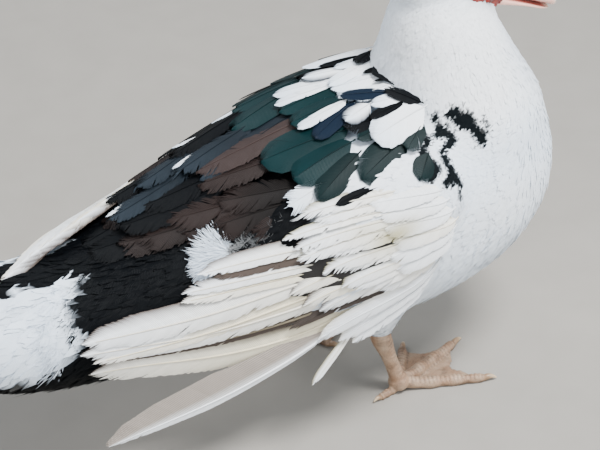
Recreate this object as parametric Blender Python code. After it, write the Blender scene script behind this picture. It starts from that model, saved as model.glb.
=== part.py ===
"""A standing Muscovy duck: a still, life-size museum model, one named object for each part of the bird.

The duck looks along +X, its left side is +Y and the floor is z = 0. Sizes are in metres. The drawing
places the parts round the middle of the trunk; set_on_origin then centres the whole over the origin.
"""

import math
import random

import bmesh
import bpy
from mathutils import Matrix, Vector

GAP = 0.0003  # left between parts that touch
RIGHT, LEFT = -1, 1
SIDES = {"right": RIGHT, "left": LEFT}

# Trunk: height of the back, height of the belly and half width at each place along the body.
TRUNK = (
    (-0.318, 0.1600, 0.1480, 0.005),
    (-0.304, 0.1625, 0.1260, 0.027),
    (-0.272, 0.1645, 0.0980, 0.046),
    (-0.225, 0.1690, 0.0830, 0.057),
    (-0.165, 0.1800, 0.0780, 0.067),
    (-0.095, 0.2000, 0.0740, 0.079),
    (-0.030, 0.2260, 0.0710, 0.091),
    (0.025, 0.2470, 0.0700, 0.098),
    (0.080, 0.2595, 0.0700, 0.101),
    (0.130, 0.2650, 0.0745, 0.098),
    (0.175, 0.2620, 0.0880, 0.089),
    (0.210, 0.2520, 0.1080, 0.073),
    (0.237, 0.2360, 0.1370, 0.048),
    (0.250, 0.2080, 0.1820, 0.008),
)
TRUNK_ROUNDNESS = 2.25  # 2 is an ellipse, more is boxier
WIDEST_SHARE = 0.46  # of the height, where the trunk is widest
RUMP_X = -0.120  # the torso ends and the rump begins

# Neck: centre forward, centre up, half depth fore and aft, half width.
NECK = (
    (0.162, 0.205, 0.080, 0.084),
    (0.163, 0.236, 0.079, 0.078),
    (0.160, 0.262, 0.068, 0.067),
    (0.157, 0.286, 0.057, 0.056),
    (0.153, 0.308, 0.049, 0.046),
    (0.149, 0.326, 0.040, 0.037),
    (0.150, 0.341, 0.030, 0.027),
    (0.151, 0.350, 0.012, 0.011),
)
NECK_RINGS = 10

# Head, along its own axis from nape to bill: place, crown height, jaw depth, half width.
HEAD_CENTRE = Vector((0.159, 0.0, 0.345))
HEAD_DOWN = math.radians(17)  # how far the bill points below the level
HEAD = (
    (-0.047, 0.004, -0.006, 0.004),
    (-0.043, 0.016, -0.018, 0.015),
    (-0.030, 0.027, -0.029, 0.0235),
    (-0.010, 0.0325, -0.033, 0.0275),
    (0.008, 0.0325, -0.031, 0.0275),
    (0.024, 0.0275, -0.026, 0.0240),
    (0.038, 0.0205, -0.021, 0.0190),
    (0.046, 0.0150, -0.016, 0.0150),
    (0.050, 0.006, -0.008, 0.006),
)
HEAD_ROUNDNESS = 2.1
EYE_RADIUS = 0.0058
EYE = Vector((0.014, 0.0218, 0.0090))  # along, out to the side and up, from the head's centre
LID_RADIUS = 0.0014

# Bill, along the head's axis: place, top, bottom, half width.
UPPER_BILL = (
    (0.034, 0.0185, -0.0035, 0.0135),
    (0.044, 0.0168, -0.0055, 0.0135),
    (0.056, 0.0118, -0.0078, 0.0122),
    (0.070, 0.0060, -0.0098, 0.0117),
    (0.084, 0.0016, -0.0112, 0.0126),
    (0.096, -0.0018, -0.0124, 0.0122),
    (0.103, -0.0050, -0.0142, 0.0084),
    (0.1065, -0.0095, -0.0154, 0.0030),
)
LOWER_BILL = (
    (0.034, -0.0062, -0.0165, 0.0112),
    (0.044, -0.0078, -0.0165, 0.0112),
    (0.058, -0.0100, -0.0162, 0.0102),
    (0.074, -0.0120, -0.0160, 0.0097),
    (0.090, -0.0138, -0.0168, 0.0098),
    (0.0985, -0.0150, -0.0172, 0.0068),
    (0.1015, -0.0156, -0.0172, 0.0026),
)
NOSTRIL = Vector((0.057, 0.0108, 0.0045))
NOSTRIL_SIZE = Vector((0.0042, 0.0022, 0.0016))

# Legs: the right foot stands ahead of the left, as in mid-step.
FOOT_OUT = 0.061  # from the midline to a foot
FOOT_X = {"right": 0.090, "left": 0.038}
HOCK_BACK, HOCK_HEIGHT = 0.019, 0.064
SHANK_RADIUS, HOCK_RADIUS = 0.0064, 0.0086
KNUCKLE_HEIGHT, KNUCKLE_RADIUS = 0.0092, 0.0090
# Toes: angle in from straight ahead, length without the claw, thickness at the root and the end.
TOES = {
    "inner": (58, 0.052, 0.0052, 0.0036),
    "middle": (24, 0.077, 0.0058, 0.0038),
    "outer": (-17, 0.074, 0.0056, 0.0037),
    "hind": (196, 0.021, 0.0038, 0.0030),
}
CLAW_LENGTH = {"inner": 0.011, "middle": 0.012, "outer": 0.011, "hind": 0.008}
WEB_THICKNESS = 0.0016

# Bare red skin of the face: bulbs along the head, above its middle line, and their radius. Those on
# the middle line stand over the bill; the others are on both cheeks.
BROW_BULBS = (
    (0.041, 0.0215, 0.0042),
    (0.033, 0.0262, 0.0036),
)
CHEEK_BULBS = (
    (0.040, 0.0125, 0.0048),
    (0.031, 0.0190, 0.0038),
    (0.021, 0.0205, 0.0032),
    (0.011, 0.0200, 0.0028),
    (0.030, 0.0080, 0.0044),
    (0.039, 0.0020, 0.0040),
    (0.029, -0.0030, 0.0036),
    (0.020, -0.0015, 0.0030),
    (0.009, -0.0005, 0.0028),
    (0.002, 0.0070, 0.0026),
)
BULB_SUNK = 0.45  # share of a bulb's radius that lies under the skin
CREST_LOCKS = 8
CREST_LENGTH, CREST_HALF_WIDTH, CREST_THICKNESS = 0.024, 0.0066, 0.0016

# Feathers. A wing's feathers lie on the flank, at a place along the body and a distance down the side
# from the ridge of the back, and so far off the trunk: all of a tier run evenly from its first to
# its last. Each tier: name, count, first and last root, first and last tip, half width, how far off
# the root and the tip are, how far it hangs below the line between them, and the outline.
FEATHER_THICKNESS = 0.0007
SHAFT_RIDGE = 0.0005
SHINGLE_RISE = 0.0022  # the lower edge of a wing feather stands off its upper edge by this much
FEATHER_STEP = 0.0008  # each feather of a tier lies this much farther off than the one below it
STATIONS = (0.0, 0.26, 0.62, 0.90, 1.0)  # along a feather, from its root
POINTED = (0.16, 0.66, 1.0, 0.74, 0.22)  # share of the half width at each station
BROAD = (0.14, 0.66, 1.0, 0.92, 0.50)

WING_TIERS = {
    "right": (
        ("lowest primary", 1, (0.066, 0.160), (0.066, 0.160), (-0.182, 0.151), (-0.182, 0.151),
         0.0165, 0.0045, 0.0300, 0.033, POINTED),
        ("primaries", 5, (0.050, 0.158), (0.078, 0.150), (-0.186, 0.100), (-0.194, 0.072),
         0.0140, 0.0045, 0.0040, 0.015, BROAD),
        ("inner primaries", 3, (0.084, 0.146), (0.100, 0.132), (-0.172, 0.070), (-0.116, 0.082),
         0.0160, 0.0085, 0.0065, 0.014, BROAD),
        ("secondaries", 6, (0.098, 0.126), (0.034, 0.090), (-0.108, 0.090), (-0.040, 0.074),
         0.0180, 0.0105, 0.0090, 0.010, BROAD),
        ("great coverts", 5, (0.090, 0.140), (0.060, 0.080), (0.024, 0.155), (-0.022, 0.068),
         0.0150, 0.0145, 0.0140, 0.006, BROAD),
        ("tertials", 4, (0.025, 0.066), (0.040, 0.030), (-0.060, 0.066), (-0.128, 0.029),
         0.0240, 0.0090, 0.0060, 0.004, BROAD),
        ("scapulars", 4, (0.085, 0.085), (0.050, 0.030), (0.040, 0.084), (-0.024, 0.030),
         0.0230, 0.0130, 0.0110, 0.0, BROAD),
    ),
    "left": (
        ("primaries", 5, (0.040, 0.152), (0.078, 0.142), (-0.236, 0.094), (-0.244, 0.058),
         0.0150, 0.0030, 0.0025, 0.012, POINTED),
        ("inner primaries", 3, (0.084, 0.138), (0.100, 0.126), (-0.220, 0.056), (-0.158, 0.064),
         0.0160, 0.0070, 0.0050, 0.012, BROAD),
        ("secondaries", 6, (0.098, 0.120), (0.034, 0.084), (-0.142, 0.076), (-0.070, 0.060),
         0.0180, 0.0090, 0.0075, 0.010, BROAD),
        ("great coverts", 5, (0.090, 0.134), (0.060, 0.076), (0.010, 0.138), (-0.030, 0.060),
         0.0150, 0.0130, 0.0120, 0.006, BROAD),
        ("tertials", 4, (0.025, 0.062), (0.040, 0.028), (-0.080, 0.056), (-0.120, 0.031),
         0.0240, 0.0080, 0.0060, 0.004, BROAD),
        ("scapulars", 4, (0.085, 0.080), (0.050, 0.028), (0.036, 0.080), (-0.024, 0.030),
         0.0230, 0.0120, 0.0110, 0.0, BROAD),
    ),
}

# Body of the folded wing: place along the body, upper and lower edge down the side, thickness.
WING_BODY = (
    (-0.052, 0.070, 0.118, 0.0060),
    (-0.020, 0.048, 0.154, 0.0110),
    (0.020, 0.034, 0.181, 0.0150),
    (0.060, 0.034, 0.178, 0.0175),
    (0.092, 0.050, 0.160, 0.0165),
    (0.114, 0.076, 0.142, 0.0110),
    (0.126, 0.098, 0.124, 0.0040),
)
WING_RISE = {"right": 0.0, "left": 0.008}  # how much higher the wing is held

# Tail: 18 quills in a shallow fan, the middle pair on top.
TAIL_QUILLS = 18
TAIL_ROOT_X, TAIL_ROOT_Z, TAIL_ROOT_SPREAD = -0.236, 0.1735, 0.026
TAIL_TIP_X, TAIL_TIP_Z, TAIL_TIP_SPREAD = -0.396, 0.1640, 0.058
TAIL_HALF_WIDTH = 0.0130
TAIL_STEP = 0.0012  # each pair lies this much below the pair inside it
TAIL_ROUNDING = 0.020  # the outer quills end this far short of the middle ones
TAIL_BODY = (  # place along the body, middle height, half height, half width
    (-0.190, 0.1745, 0.0040, 0.0200),
    (-0.218, 0.1690, 0.0085, 0.0320),
    (-0.250, 0.1665, 0.0090, 0.0340),
    (-0.280, 0.1655, 0.0060, 0.0330),
    (-0.298, 0.1650, 0.0020, 0.0290),
)

SIDE_STEPS = 24
SPHERE_TURNS = 12


def smooth_row(table, place):
    """The other columns of a table at this place, on a smooth curve through its rows."""
    i = max(k for k in range(len(table) - 1) if k == 0 or table[k][0] <= place)
    a, b = table[i], table[i + 1]
    span = b[0] - a[0]
    t = min(max((place - a[0]) / span, 0.0), 1.0)
    before, after = table[max(i - 1, 0)], table[min(i + 2, len(table) - 1)]
    row = []
    for c in range(1, len(a)):
        slope_a = (b[c] - before[c]) / (b[0] - before[0]) * span
        slope_b = (after[c] - a[c]) / (after[0] - a[0]) * span
        row.append(
            (2 * t**3 - 3 * t**2 + 1) * a[c]
            + (t**3 - 2 * t**2 + t) * slope_a
            + (3 * t**2 - 2 * t**3) * b[c]
            + (t**3 - t**2) * slope_b
        )
    return row


def eased_places(table, count):
    """Places from the first row to the last, closer together near both ends."""
    first, last = table[0][0], table[-1][0]
    return [
        first + (last - first) * (1 - math.cos(math.pi * k / (count - 1))) / 2
        for k in range(count)
    ]


def rounded(angle, power):
    """Cosine and sine of the angle on a squarish circle."""
    c, s = math.cos(angle), math.sin(angle)
    return (
        math.copysign(abs(c) ** (2 / power), c),
        math.copysign(abs(s) ** (2 / power), s),
    )


def new_object(name, points, faces):
    mesh = bpy.data.meshes.new(name)
    mesh.from_pydata([tuple(p) for p in points], [], faces)
    shape = bmesh.new()
    shape.from_mesh(mesh)
    bmesh.ops.recalc_face_normals(shape, faces=shape.faces)
    shape.to_mesh(mesh)
    shape.free()
    obj = bpy.data.objects.new(name, mesh)
    bpy.context.scene.collection.objects.link(obj)
    return obj


def loft(name, rings):
    """A closed body through rings of equally many points, with flat ends."""
    count = len(rings[0])
    points = [p for ring in rings for p in ring]
    faces = [tuple(range(count)), tuple(range(len(points) - count, len(points)))]
    for r in range(len(rings) - 1):
        for j in range(count):
            a, b = r * count + j, r * count + (j + 1) % count
            faces.append((a, b, b + count, a + count))
    return new_object(name, points, faces)


def replace_mesh(obj, mesh):
    old = obj.data
    obj.data = mesh
    obj.modifiers.clear()
    bpy.data.meshes.remove(old)


def apply_modifiers(obj):
    graph = bpy.context.evaluated_depsgraph_get()
    mesh = bpy.data.meshes.new_from_object(obj.evaluated_get(graph))
    mesh.name = obj.name
    replace_mesh(obj, mesh)


def keep_largest(obj):
    """Drops every loose scrap and sealed hollow, keeping the largest closed surface."""
    shape = bmesh.new()
    shape.from_mesh(obj.data)
    unseen, groups = set(shape.verts), []
    while unseen:
        group, edge = set(), [unseen.pop()]
        while edge:
            vert = edge.pop()
            group.add(vert)
            for link in vert.link_edges:
                other = link.other_vert(vert)
                if other in unseen:
                    unseen.remove(other)
                    edge.append(other)
        groups.append(group)
    groups.sort(key=len)
    for group in groups[:-1]:
        bmesh.ops.delete(shape, geom=list(group), context="VERTS")
    shape.to_mesh(obj.data)
    shape.free()


def join(pieces):
    """Fuses closed pieces into the first of them."""
    whole, others = pieces[0], pieces[1:]
    if others:
        tools = bpy.data.collections.new("joined")
        for piece in others:
            tools.objects.link(piece)
        boolean = whole.modifiers.new("join", "BOOLEAN")
        boolean.operation = "UNION"
        boolean.operand_type = "COLLECTION"
        boolean.collection = tools
        boolean.solver = "MANIFOLD"
        apply_modifiers(whole)
        for piece in others:
            bpy.data.objects.remove(piece)
        bpy.data.collections.remove(tools)
    keep_largest(whole)
    return whole


def cut(obj, cutter):
    """Takes the cutter's space out of the object, and removes the cutter."""
    boolean = obj.modifiers.new("cut", "BOOLEAN")
    boolean.operation = "DIFFERENCE"
    boolean.object = cutter
    boolean.solver = "MANIFOLD"
    apply_modifiers(obj)
    bpy.data.objects.remove(cutter)
    keep_largest(obj)
    return obj


def grown(obj, by=GAP):
    """A copy whose skin lies this far outside the object's."""
    copy = bpy.data.objects.new(obj.name + "_grown", obj.data.copy())
    bpy.context.scene.collection.objects.link(copy)
    normals = [v.normal.copy() for v in copy.data.vertices]
    for vert, normal in zip(copy.data.vertices, normals):
        vert.co += normal * by
    return copy


def part_at_plane(obj, point, normal, keep_ahead):
    """Keeps what lies ahead of the plane, or behind it, with a flat face there."""
    shape = bmesh.new()
    shape.from_mesh(obj.data)
    made = bmesh.ops.bisect_plane(
        shape,
        geom=[*shape.verts, *shape.edges, *shape.faces],
        plane_co=point,
        plane_no=normal,
        clear_inner=keep_ahead,
        clear_outer=not keep_ahead,
        dist=1e-7,
    )
    rim = [e for e in made["geom_cut"] if isinstance(e, bmesh.types.BMEdge)]
    bmesh.ops.edgenet_fill(shape, edges=rim)
    bmesh.ops.recalc_face_normals(shape, faces=shape.faces)
    shape.to_mesh(obj.data)
    shape.free()
    return obj


def ball(name, centre, radii, turns=SPHERE_TURNS, levels=None):
    bpy.ops.mesh.primitive_uv_sphere_add(
        segments=turns, ring_count=levels or turns // 2, radius=1, location=(0, 0, 0)
    )
    obj = bpy.context.object
    obj.name = name
    obj.data.transform(Matrix.Translation(centre) @ Matrix.Diagonal((*radii, 1)))
    return obj


def head_to_world(point):
    """A place given along the head's axis, out to the side and up, in the duck's frame."""
    return HEAD_CENTRE + Matrix.Rotation(HEAD_DOWN, 3, "Y") @ Vector(point)


def trunk_section(x):
    """Height of the widest level, height above it, depth below it, and half width."""
    top, bottom, half_width = smooth_row(TRUNK, x)
    widest = bottom + (top - bottom) * WIDEST_SHARE
    return widest, top - widest, widest - bottom, half_width


def trunk_ring(x, count):
    widest, above, below, half_width = trunk_section(x)
    ring = []
    for k in range(count):
        side, up = rounded(2 * math.pi * k / count, TRUNK_ROUNDNESS)
        ring.append(Vector((x, side * half_width, widest + up * (above if up > 0 else below))))
    return ring


def whole_trunk():
    return loft("trunk", [trunk_ring(x, 24) for x in eased_places(TRUNK, 20)])


def make_torso(trunk):
    torso = grown(trunk, 0)
    torso.name = "torso"
    return part_at_plane(torso, Vector((RUMP_X + GAP / 2, 0, 0)), Vector((1, 0, 0)), True)


def make_rump(trunk):
    rump = grown(trunk, 0)
    rump.name = "rump"
    return part_at_plane(rump, Vector((RUMP_X - GAP / 2, 0, 0)), Vector((1, 0, 0)), False)


def whole_neck():
    heights = [(z, x, depth, width) for x, z, depth, width in NECK]
    rings = []
    for k in range(NECK_RINGS):
        z = heights[0][0] + (heights[-1][0] - heights[0][0]) * k / (NECK_RINGS - 1)
        x, depth, width = smooth_row(heights, z)
        rings.append(
            [
                Vector((x + depth * math.cos(a), width * math.sin(a), z))
                for a in (2 * math.pi * j / 20 for j in range(20))
            ]
        )
    return loft("neck", rings)


def head_ring(table, place, count, power):
    top, bottom, half_width = smooth_row(table, place)
    middle, half = (top + bottom) / 2, (top - bottom) / 2
    ring = []
    for k in range(count):
        side, up = rounded(2 * math.pi * k / count, power)
        ring.append(head_to_world((place, side * half_width, middle + up * half)))
    return ring


def whole_head():
    rings = [head_ring(HEAD, place, 20, HEAD_ROUNDNESS) for place in eased_places(HEAD, 14)]
    return loft("head", rings)


def eye_place(side):
    return head_to_world((EYE.x, side * EYE.y, EYE.z))


def lid_ring(side):
    bpy.ops.mesh.primitive_torus_add(
        major_segments=12,
        minor_segments=5,
        major_radius=EYE_RADIUS * 0.93,
        minor_radius=LID_RADIUS,
    )
    lid = bpy.context.object
    turn = Matrix.Rotation(HEAD_DOWN, 4, "Y") @ Matrix.Rotation(-side * math.pi / 2, 4, "X")
    out = Vector((0, side * EYE_RADIUS * 0.42, 0))
    lid.data.transform(Matrix.Translation(eye_place(side) + out) @ turn)
    return lid


def cheek_out(place, up):
    """How far out from the middle the head's side is, at this place along it and height."""
    top, bottom, half_width = smooth_row(HEAD, place)
    middle, half = (top + bottom) / 2, (top - bottom) / 2
    share = min(abs((up - middle) / half), 0.98)
    return half_width * (1 - share**HEAD_ROUNDNESS) ** (1 / HEAD_ROUNDNESS)


def face_bulbs():
    bulbs = []
    for place, up, radius in BROW_BULBS:
        centre = head_to_world((place, 0, up - radius * BULB_SUNK))
        bulbs.append(ball("bulb", centre, (radius, radius, radius), 8, 5))
    for side in (RIGHT, LEFT):
        for place, up, radius in CHEEK_BULBS:
            out = cheek_out(place, up) - radius * BULB_SUNK
            centre = head_to_world((place, side * out, up))
            bulbs.append(ball("bulb", centre, (radius, radius, radius), 8, 5))
    return bulbs


def crest_lock(k, draw):
    """One short, flat lock on the crown, swept back and turned up a little at its tip."""
    share = k / (CREST_LOCKS - 1)
    place = 0.016 - 0.054 * share
    aside = (-1) ** k * 0.006 * draw.uniform(0.2, 1.0)
    top = smooth_row(HEAD, place)[0]
    length = CREST_LENGTH * draw.uniform(0.85, 1.15) * (1 - 0.3 * share)
    rise = (0.46 - 0.25 * share) * draw.uniform(0.85, 1.15)
    upper, lower = [], []
    for along, width in zip((0.0, 0.3, 0.65, 1.0), (0.8, 1.0, 0.7, 0.15)):
        back = place - length * along * math.cos(rise)
        up = top - 0.004 + length * along * (math.sin(rise) - 0.25 * along)
        half_thick = CREST_THICKNESS / 2 * (1 - 0.4 * along)
        for edge in (-1, 0, 1):
            out = aside * (1 + along) + edge * width * CREST_HALF_WIDTH
            sink = 0.0006 * abs(edge)
            upper.append(head_to_world((back, out, up + half_thick - sink)))
            lower.append(head_to_world((back, out, up - half_thick - sink)))
    return sheet_between("lock", upper, lower, 4, 3)


def make_head():
    draw = random.Random(5)
    forms = [lid_ring(RIGHT), lid_ring(LEFT)] + face_bulbs()
    forms += [crest_lock(k, draw) for k in range(CREST_LOCKS)]
    head = join([whole_head()] + forms)
    head.name = "head"
    return head


def make_eye(name, side):
    return ball(name, eye_place(side), (EYE_RADIUS,) * 3, 12)


def make_bill(name, table, power):
    return loft(name, [head_ring(table, u, 16, power) for u in eased_places(table, 12)])


def nostril_cutter(side):
    cutter = ball("nostril", (0, 0, 0), NOSTRIL_SIZE, 8)
    turn = Matrix.Rotation(HEAD_DOWN + math.radians(14), 4, "Y")
    place = head_to_world((NOSTRIL.x, side * NOSTRIL.y, NOSTRIL.z))
    cutter.data.transform(Matrix.Translation(place) @ turn)
    return cutter


def foot_centre(side_name):
    return Vector((FOOT_X[side_name], SIDES[side_name] * FOOT_OUT, KNUCKLE_HEIGHT))


def tube(name, stations, sides):
    """A round limb through (centre, radius) stations, its ends cut square across."""
    rings = []
    for k, (centre, radius) in enumerate(stations):
        before, after = stations[max(k - 1, 0)][0], stations[min(k + 1, len(stations) - 1)][0]
        along = (after - before).normalized()
        across = along.cross(Vector((0, 1, 0.02))).normalized()
        other = along.cross(across)
        rings.append(
            [
                centre + (across * math.cos(a) + other * math.sin(a)) * radius
                for a in (2 * math.pi * j / sides for j in range(sides))
            ]
        )
    return loft(name, rings)


def shank_stations(side_name):
    foot = foot_centre(side_name)
    hock = foot + Vector((-HOCK_BACK, 0, HOCK_HEIGHT - KNUCKLE_HEIGHT))
    shares = (
        (0.0, SHANK_RADIUS * 1.12),
        (0.25, SHANK_RADIUS * 0.96),
        (0.6, SHANK_RADIUS),
        (0.85, HOCK_RADIUS * 0.95),
        (1.0, HOCK_RADIUS),
        (1.14, HOCK_RADIUS * 0.85),
    )
    return [(foot.lerp(hock, share), radius) for share, radius in shares]


def make_shank(side_name):
    shank = tube("shank_" + side_name, shank_stations(side_name), 12)
    knuckle = ball("knuckle", foot_centre(side_name), (KNUCKLE_RADIUS + GAP,) * 3)
    return cut(shank, knuckle)


def make_thigh(side_name):
    side = SIDES[side_name]
    stations = shank_stations(side_name)
    hock = stations[-2][0]
    hip = hock + Vector((-0.004, -side * 0.004, 0.062))
    return tube(
        "thigh_" + side_name,
        [
            (hock + Vector((0.0, 0, 0.001)), 0.0095),
            (hock.lerp(hip, 0.22), 0.0170),
            (hock.lerp(hip, 0.5), 0.0270),
            (hock.lerp(hip, 0.8), 0.0330),
            (hip, 0.0300),
        ],
        16,
    )


def toe_direction(side_name, toe):
    inward = math.radians(TOES[toe][0])
    return Vector((math.cos(inward), -SIDES[side_name] * math.sin(inward), 0))


def toe_point(side_name, toe, share):
    """A place on the toe's middle line, which comes down to the floor and runs along it."""
    _, length, root, end = TOES[toe]
    start = foot_centre(side_name)
    radius = root + (end - root) * share
    point = start + toe_direction(side_name, toe) * length * share
    level = radius * 0.86
    point.z = level + (KNUCKLE_HEIGHT - level) * max(0.0, 1 - share * 3.2) ** 1.5
    return point, radius


def make_toe(side_name, toe):
    joints = (0.0, 0.12, 0.26, 0.38, 0.50, 0.66, 0.80, 0.94, 1.0)
    swell = (1.0, 1.0, 0.95, 1.10, 0.94, 1.10, 0.95, 1.02, 0.80)
    stations = []
    for share, factor in zip(joints, swell):
        point, radius = toe_point(side_name, toe, share)
        stations.append((point, radius * factor))
    return tube("toe", stations, 8)


def make_web(side_name, toe_a, toe_b, scallop):
    """The skin between two toes, its free edge drawn in by the scallop share."""
    rows, columns = 4, 4
    start = foot_centre(side_name)
    top, bottom = [], []
    for i in range(rows + 1):
        for j in range(columns + 1):
            across = j / columns
            reach = (0.93 - scallop * 4 * across * (1 - across)) * (0.04 + 0.96 * i / rows)
            a, _ = toe_point(side_name, toe_a, reach)
            b, _ = toe_point(side_name, toe_b, reach)
            point = a.lerp(b, across)
            sag = 4 * across * (1 - across) * 0.0004
            level = 0.0022 + max(0.0, 1 - (point - start).length / 0.026) * 0.0042 - sag
            top.append(Vector((point.x, point.y, level + WEB_THICKNESS / 2)))
            bottom.append(Vector((point.x, point.y, level - WEB_THICKNESS / 2)))
    return sheet_between("web", top, bottom, rows + 1, columns + 1)


def sheet_between(name, top, bottom, rows, columns):
    """A closed plate between two grids of points, split into triangles alike on both faces."""
    n = rows * columns
    faces = []
    for i in range(rows - 1):
        for j in range(columns - 1):
            a = i * columns + j
            b, c, d = a + 1, a + columns + 1, a + columns
            faces += [(a, b, c), (a, c, d), (n + a, n + c, n + b), (n + a, n + d, n + c)]
    rim = (
        [j for j in range(columns)]
        + [i * columns + columns - 1 for i in range(1, rows)]
        + [(rows - 1) * columns + j for j in range(columns - 2, -1, -1)]
        + [i * columns for i in range(rows - 2, 0, -1)]
    )
    for a, b in zip(rim, rim[1:] + rim[:1]):
        faces += [(a, n + a, n + b), (a, n + b, b)]
    return new_object(name, list(top) + list(bottom), faces)


def make_foot(side_name):
    pieces = [ball("foot_" + side_name, foot_centre(side_name), (KNUCKLE_RADIUS,) * 3)]
    pieces += [make_toe(side_name, toe) for toe in TOES]
    pieces.append(make_web(side_name, "inner", "middle", 0.10))
    pieces.append(make_web(side_name, "middle", "outer", 0.13))
    foot = join(pieces)
    foot.name = "foot_" + side_name
    return part_at_plane(foot, Vector((0, 0, 0)), Vector((0, 0, 1)), True)


def make_claw(side_name, toe):
    """A curved, tapering claw on the flat end of its toe."""
    along = toe_direction(side_name, toe)
    root, radius = toe_point(side_name, toe, 1.0)
    root = root + along * GAP
    length = CLAW_LENGTH[toe]
    stations = []
    for share, thick in ((0.0, 0.72), (0.3, 0.66), (0.6, 0.48), (0.85, 0.26), (1.0, 0.08)):
        drop = (root.z - radius * 0.30) * share**2
        rise = 0.0012 * math.sin(math.pi * share)
        centre = root + along * length * share + Vector((0, 0, rise - drop + radius * 0.2 * share))
        stations.append((centre, radius * thick))
    return tube(f"claw_{toe}_{side_name}", stations, 8)


def flank_line(x):
    """The trunk's side here as (out, up) points, from the ridge of the back to its widest level,
    then on down nearly straight."""
    widest, above, _, half_width = trunk_section(x)
    line = []
    for k in range(SIDE_STEPS + 1):
        out, up = rounded(math.pi / 2 * (1 - k / SIDE_STEPS), TRUNK_ROUNDNESS)
        line.append((out * half_width, widest + up * above))
    out, up = line[-1]
    return line + [(out - 0.02, up - 0.2)]


def on_flank(side, x, down, off):
    """The place this far down the side from the ridge of the back, measured round the trunk, and
    this far off it. A negative distance lies past the ridge, on the other side."""
    if down < 0:
        side, down = -side, -down
    line = flank_line(x)
    for (y0, z0), (y1, z1) in zip(line, line[1:]):
        length = math.hypot(y1 - y0, z1 - z0)
        if down <= length or (y1, z1) == line[-1]:
            break
        down -= length
    along_y, along_z = (y1 - y0) / length, (z1 - z0) / length
    return Vector(
        (x, side * (y0 + along_y * down - along_z * off), z0 + along_z * down + along_y * off)
    )


def mixed(a, b, share):
    return tuple(p + (q - p) * share for p, q in zip(a, b))


def bowed(root, tip, bow, share):
    """A place on the curve from root to tip, which hangs lowest, by the bow, a third of the way."""
    x, down = mixed(root, tip, share)
    return x, down + bow * 6.75 * share * (1 - share) ** 2


def wing_feather(side, root, tip, half_width, off_root, off_tip, outline, bow):
    """One feather lying along the flank, its lower edge standing off a little more than its upper."""
    top, bottom = [], []
    for share, width in zip(STATIONS, outline):
        x, down = bowed(root, tip, bow, share)
        x_next, down_next = bowed(root, tip, bow, share + 0.01)
        length = math.hypot(x_next - x, down_next - down)
        back, fall = (x_next - x) / length, (down_next - down) / length
        off = off_root + (off_tip - off_root) * share
        half_thick = FEATHER_THICKNESS / 2 * (1.6 - 0.7 * share)
        for edge in (-1, 0, 1):
            reach = edge * width * half_width
            place = (x + fall * reach, down - back * reach)
            lift = off + SHINGLE_RISE / 2 * edge * width
            ridge = SHAFT_RIDGE * (1 - share) if edge == 0 else 0.0
            top.append(on_flank(side, *place, lift + half_thick + ridge))
            bottom.append(on_flank(side, *place, lift - half_thick))
    return sheet_between("feather", top, bottom, len(STATIONS), 3)


def wing_tier(side, rise, tier, draw):
    _, count, first_root, last_root, first_tip, last_tip = tier[:6]
    half_width, off_root, off_tip, bow, outline = tier[6:]
    feathers = []
    for k in range(count):
        share = k / max(count - 1, 1)
        root = mixed(first_root, last_root, share)
        tip = mixed(first_tip, last_tip, share)
        root = (root[0], root[1] - rise)
        tip = (tip[0] + draw.uniform(-0.004, 0.004), tip[1] + draw.uniform(-0.0015, 0.0015))
        lift = FEATHER_STEP * k
        feathers.append(
            wing_feather(
                side,
                root,
                tip,
                half_width * draw.uniform(0.94, 1.06),
                off_root + lift,
                off_tip + lift * 0.8,
                outline,
                bow * (1 - share * 0.4),
            )
        )
    return feathers


def wing_body(side, rise):
    rings = []
    for x in eased_places(WING_BODY, 11):
        upper, lower, thick = smooth_row(WING_BODY, x)
        upper, lower = upper - rise, lower - rise
        outer, inner = [], []
        for k in range(9):
            share = k / 8
            down = upper + (lower - upper) * share
            off = thick * max(math.sin(math.pi * share), 0.0) ** 0.6
            outer.append(on_flank(side, x, down, off))
            inner.append(on_flank(side, x, down, -0.002))
        rings.append(outer + inner[::-1])
    return loft("wing_body", rings)


def make_wing(side_name, trunk):
    side, rise = SIDES[side_name], WING_RISE[side_name]
    draw = random.Random(11 + side)
    body = cut(wing_body(side, rise), grown(trunk))
    feathers = []
    for tier in WING_TIERS[side_name]:
        feathers += wing_tier(side, rise, tier, draw)
    wing = join([body] + feathers)
    wing.name = "wing_" + side_name
    return wing


def tail_quill(pair, side):
    """One tail feather: pair 0 is in the middle, on top; the last is outermost and lowest."""
    pairs = TAIL_QUILLS // 2
    share = (pair + 0.5) / pairs
    drop = TAIL_STEP * (pair + (0.5 if side == LEFT else 0.0))
    root = Vector((TAIL_ROOT_X, side * TAIL_ROOT_SPREAD * share, TAIL_ROOT_Z - drop))
    tip = Vector(
        (TAIL_TIP_X + TAIL_ROUNDING * share**2, side * TAIL_TIP_SPREAD * share, TAIL_TIP_Z - drop)
    )
    along = (tip - root).normalized()
    out = Vector((-along.y, along.x, 0)).normalized() * -side
    top, bottom = [], []
    for place, width in zip(STATIONS, BROAD):
        middle = root.lerp(tip, place)
        half_thick = FEATHER_THICKNESS / 2 * (1.6 - 0.7 * place)
        for edge in (-1, 0, 1):
            reach = edge * width * TAIL_HALF_WIDTH
            point = middle + out * reach
            top.append(point + Vector((0, 0, half_thick)))
            bottom.append(point - Vector((0, 0, half_thick)))
    return sheet_between("quill", top, bottom, len(STATIONS), 3)


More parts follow.
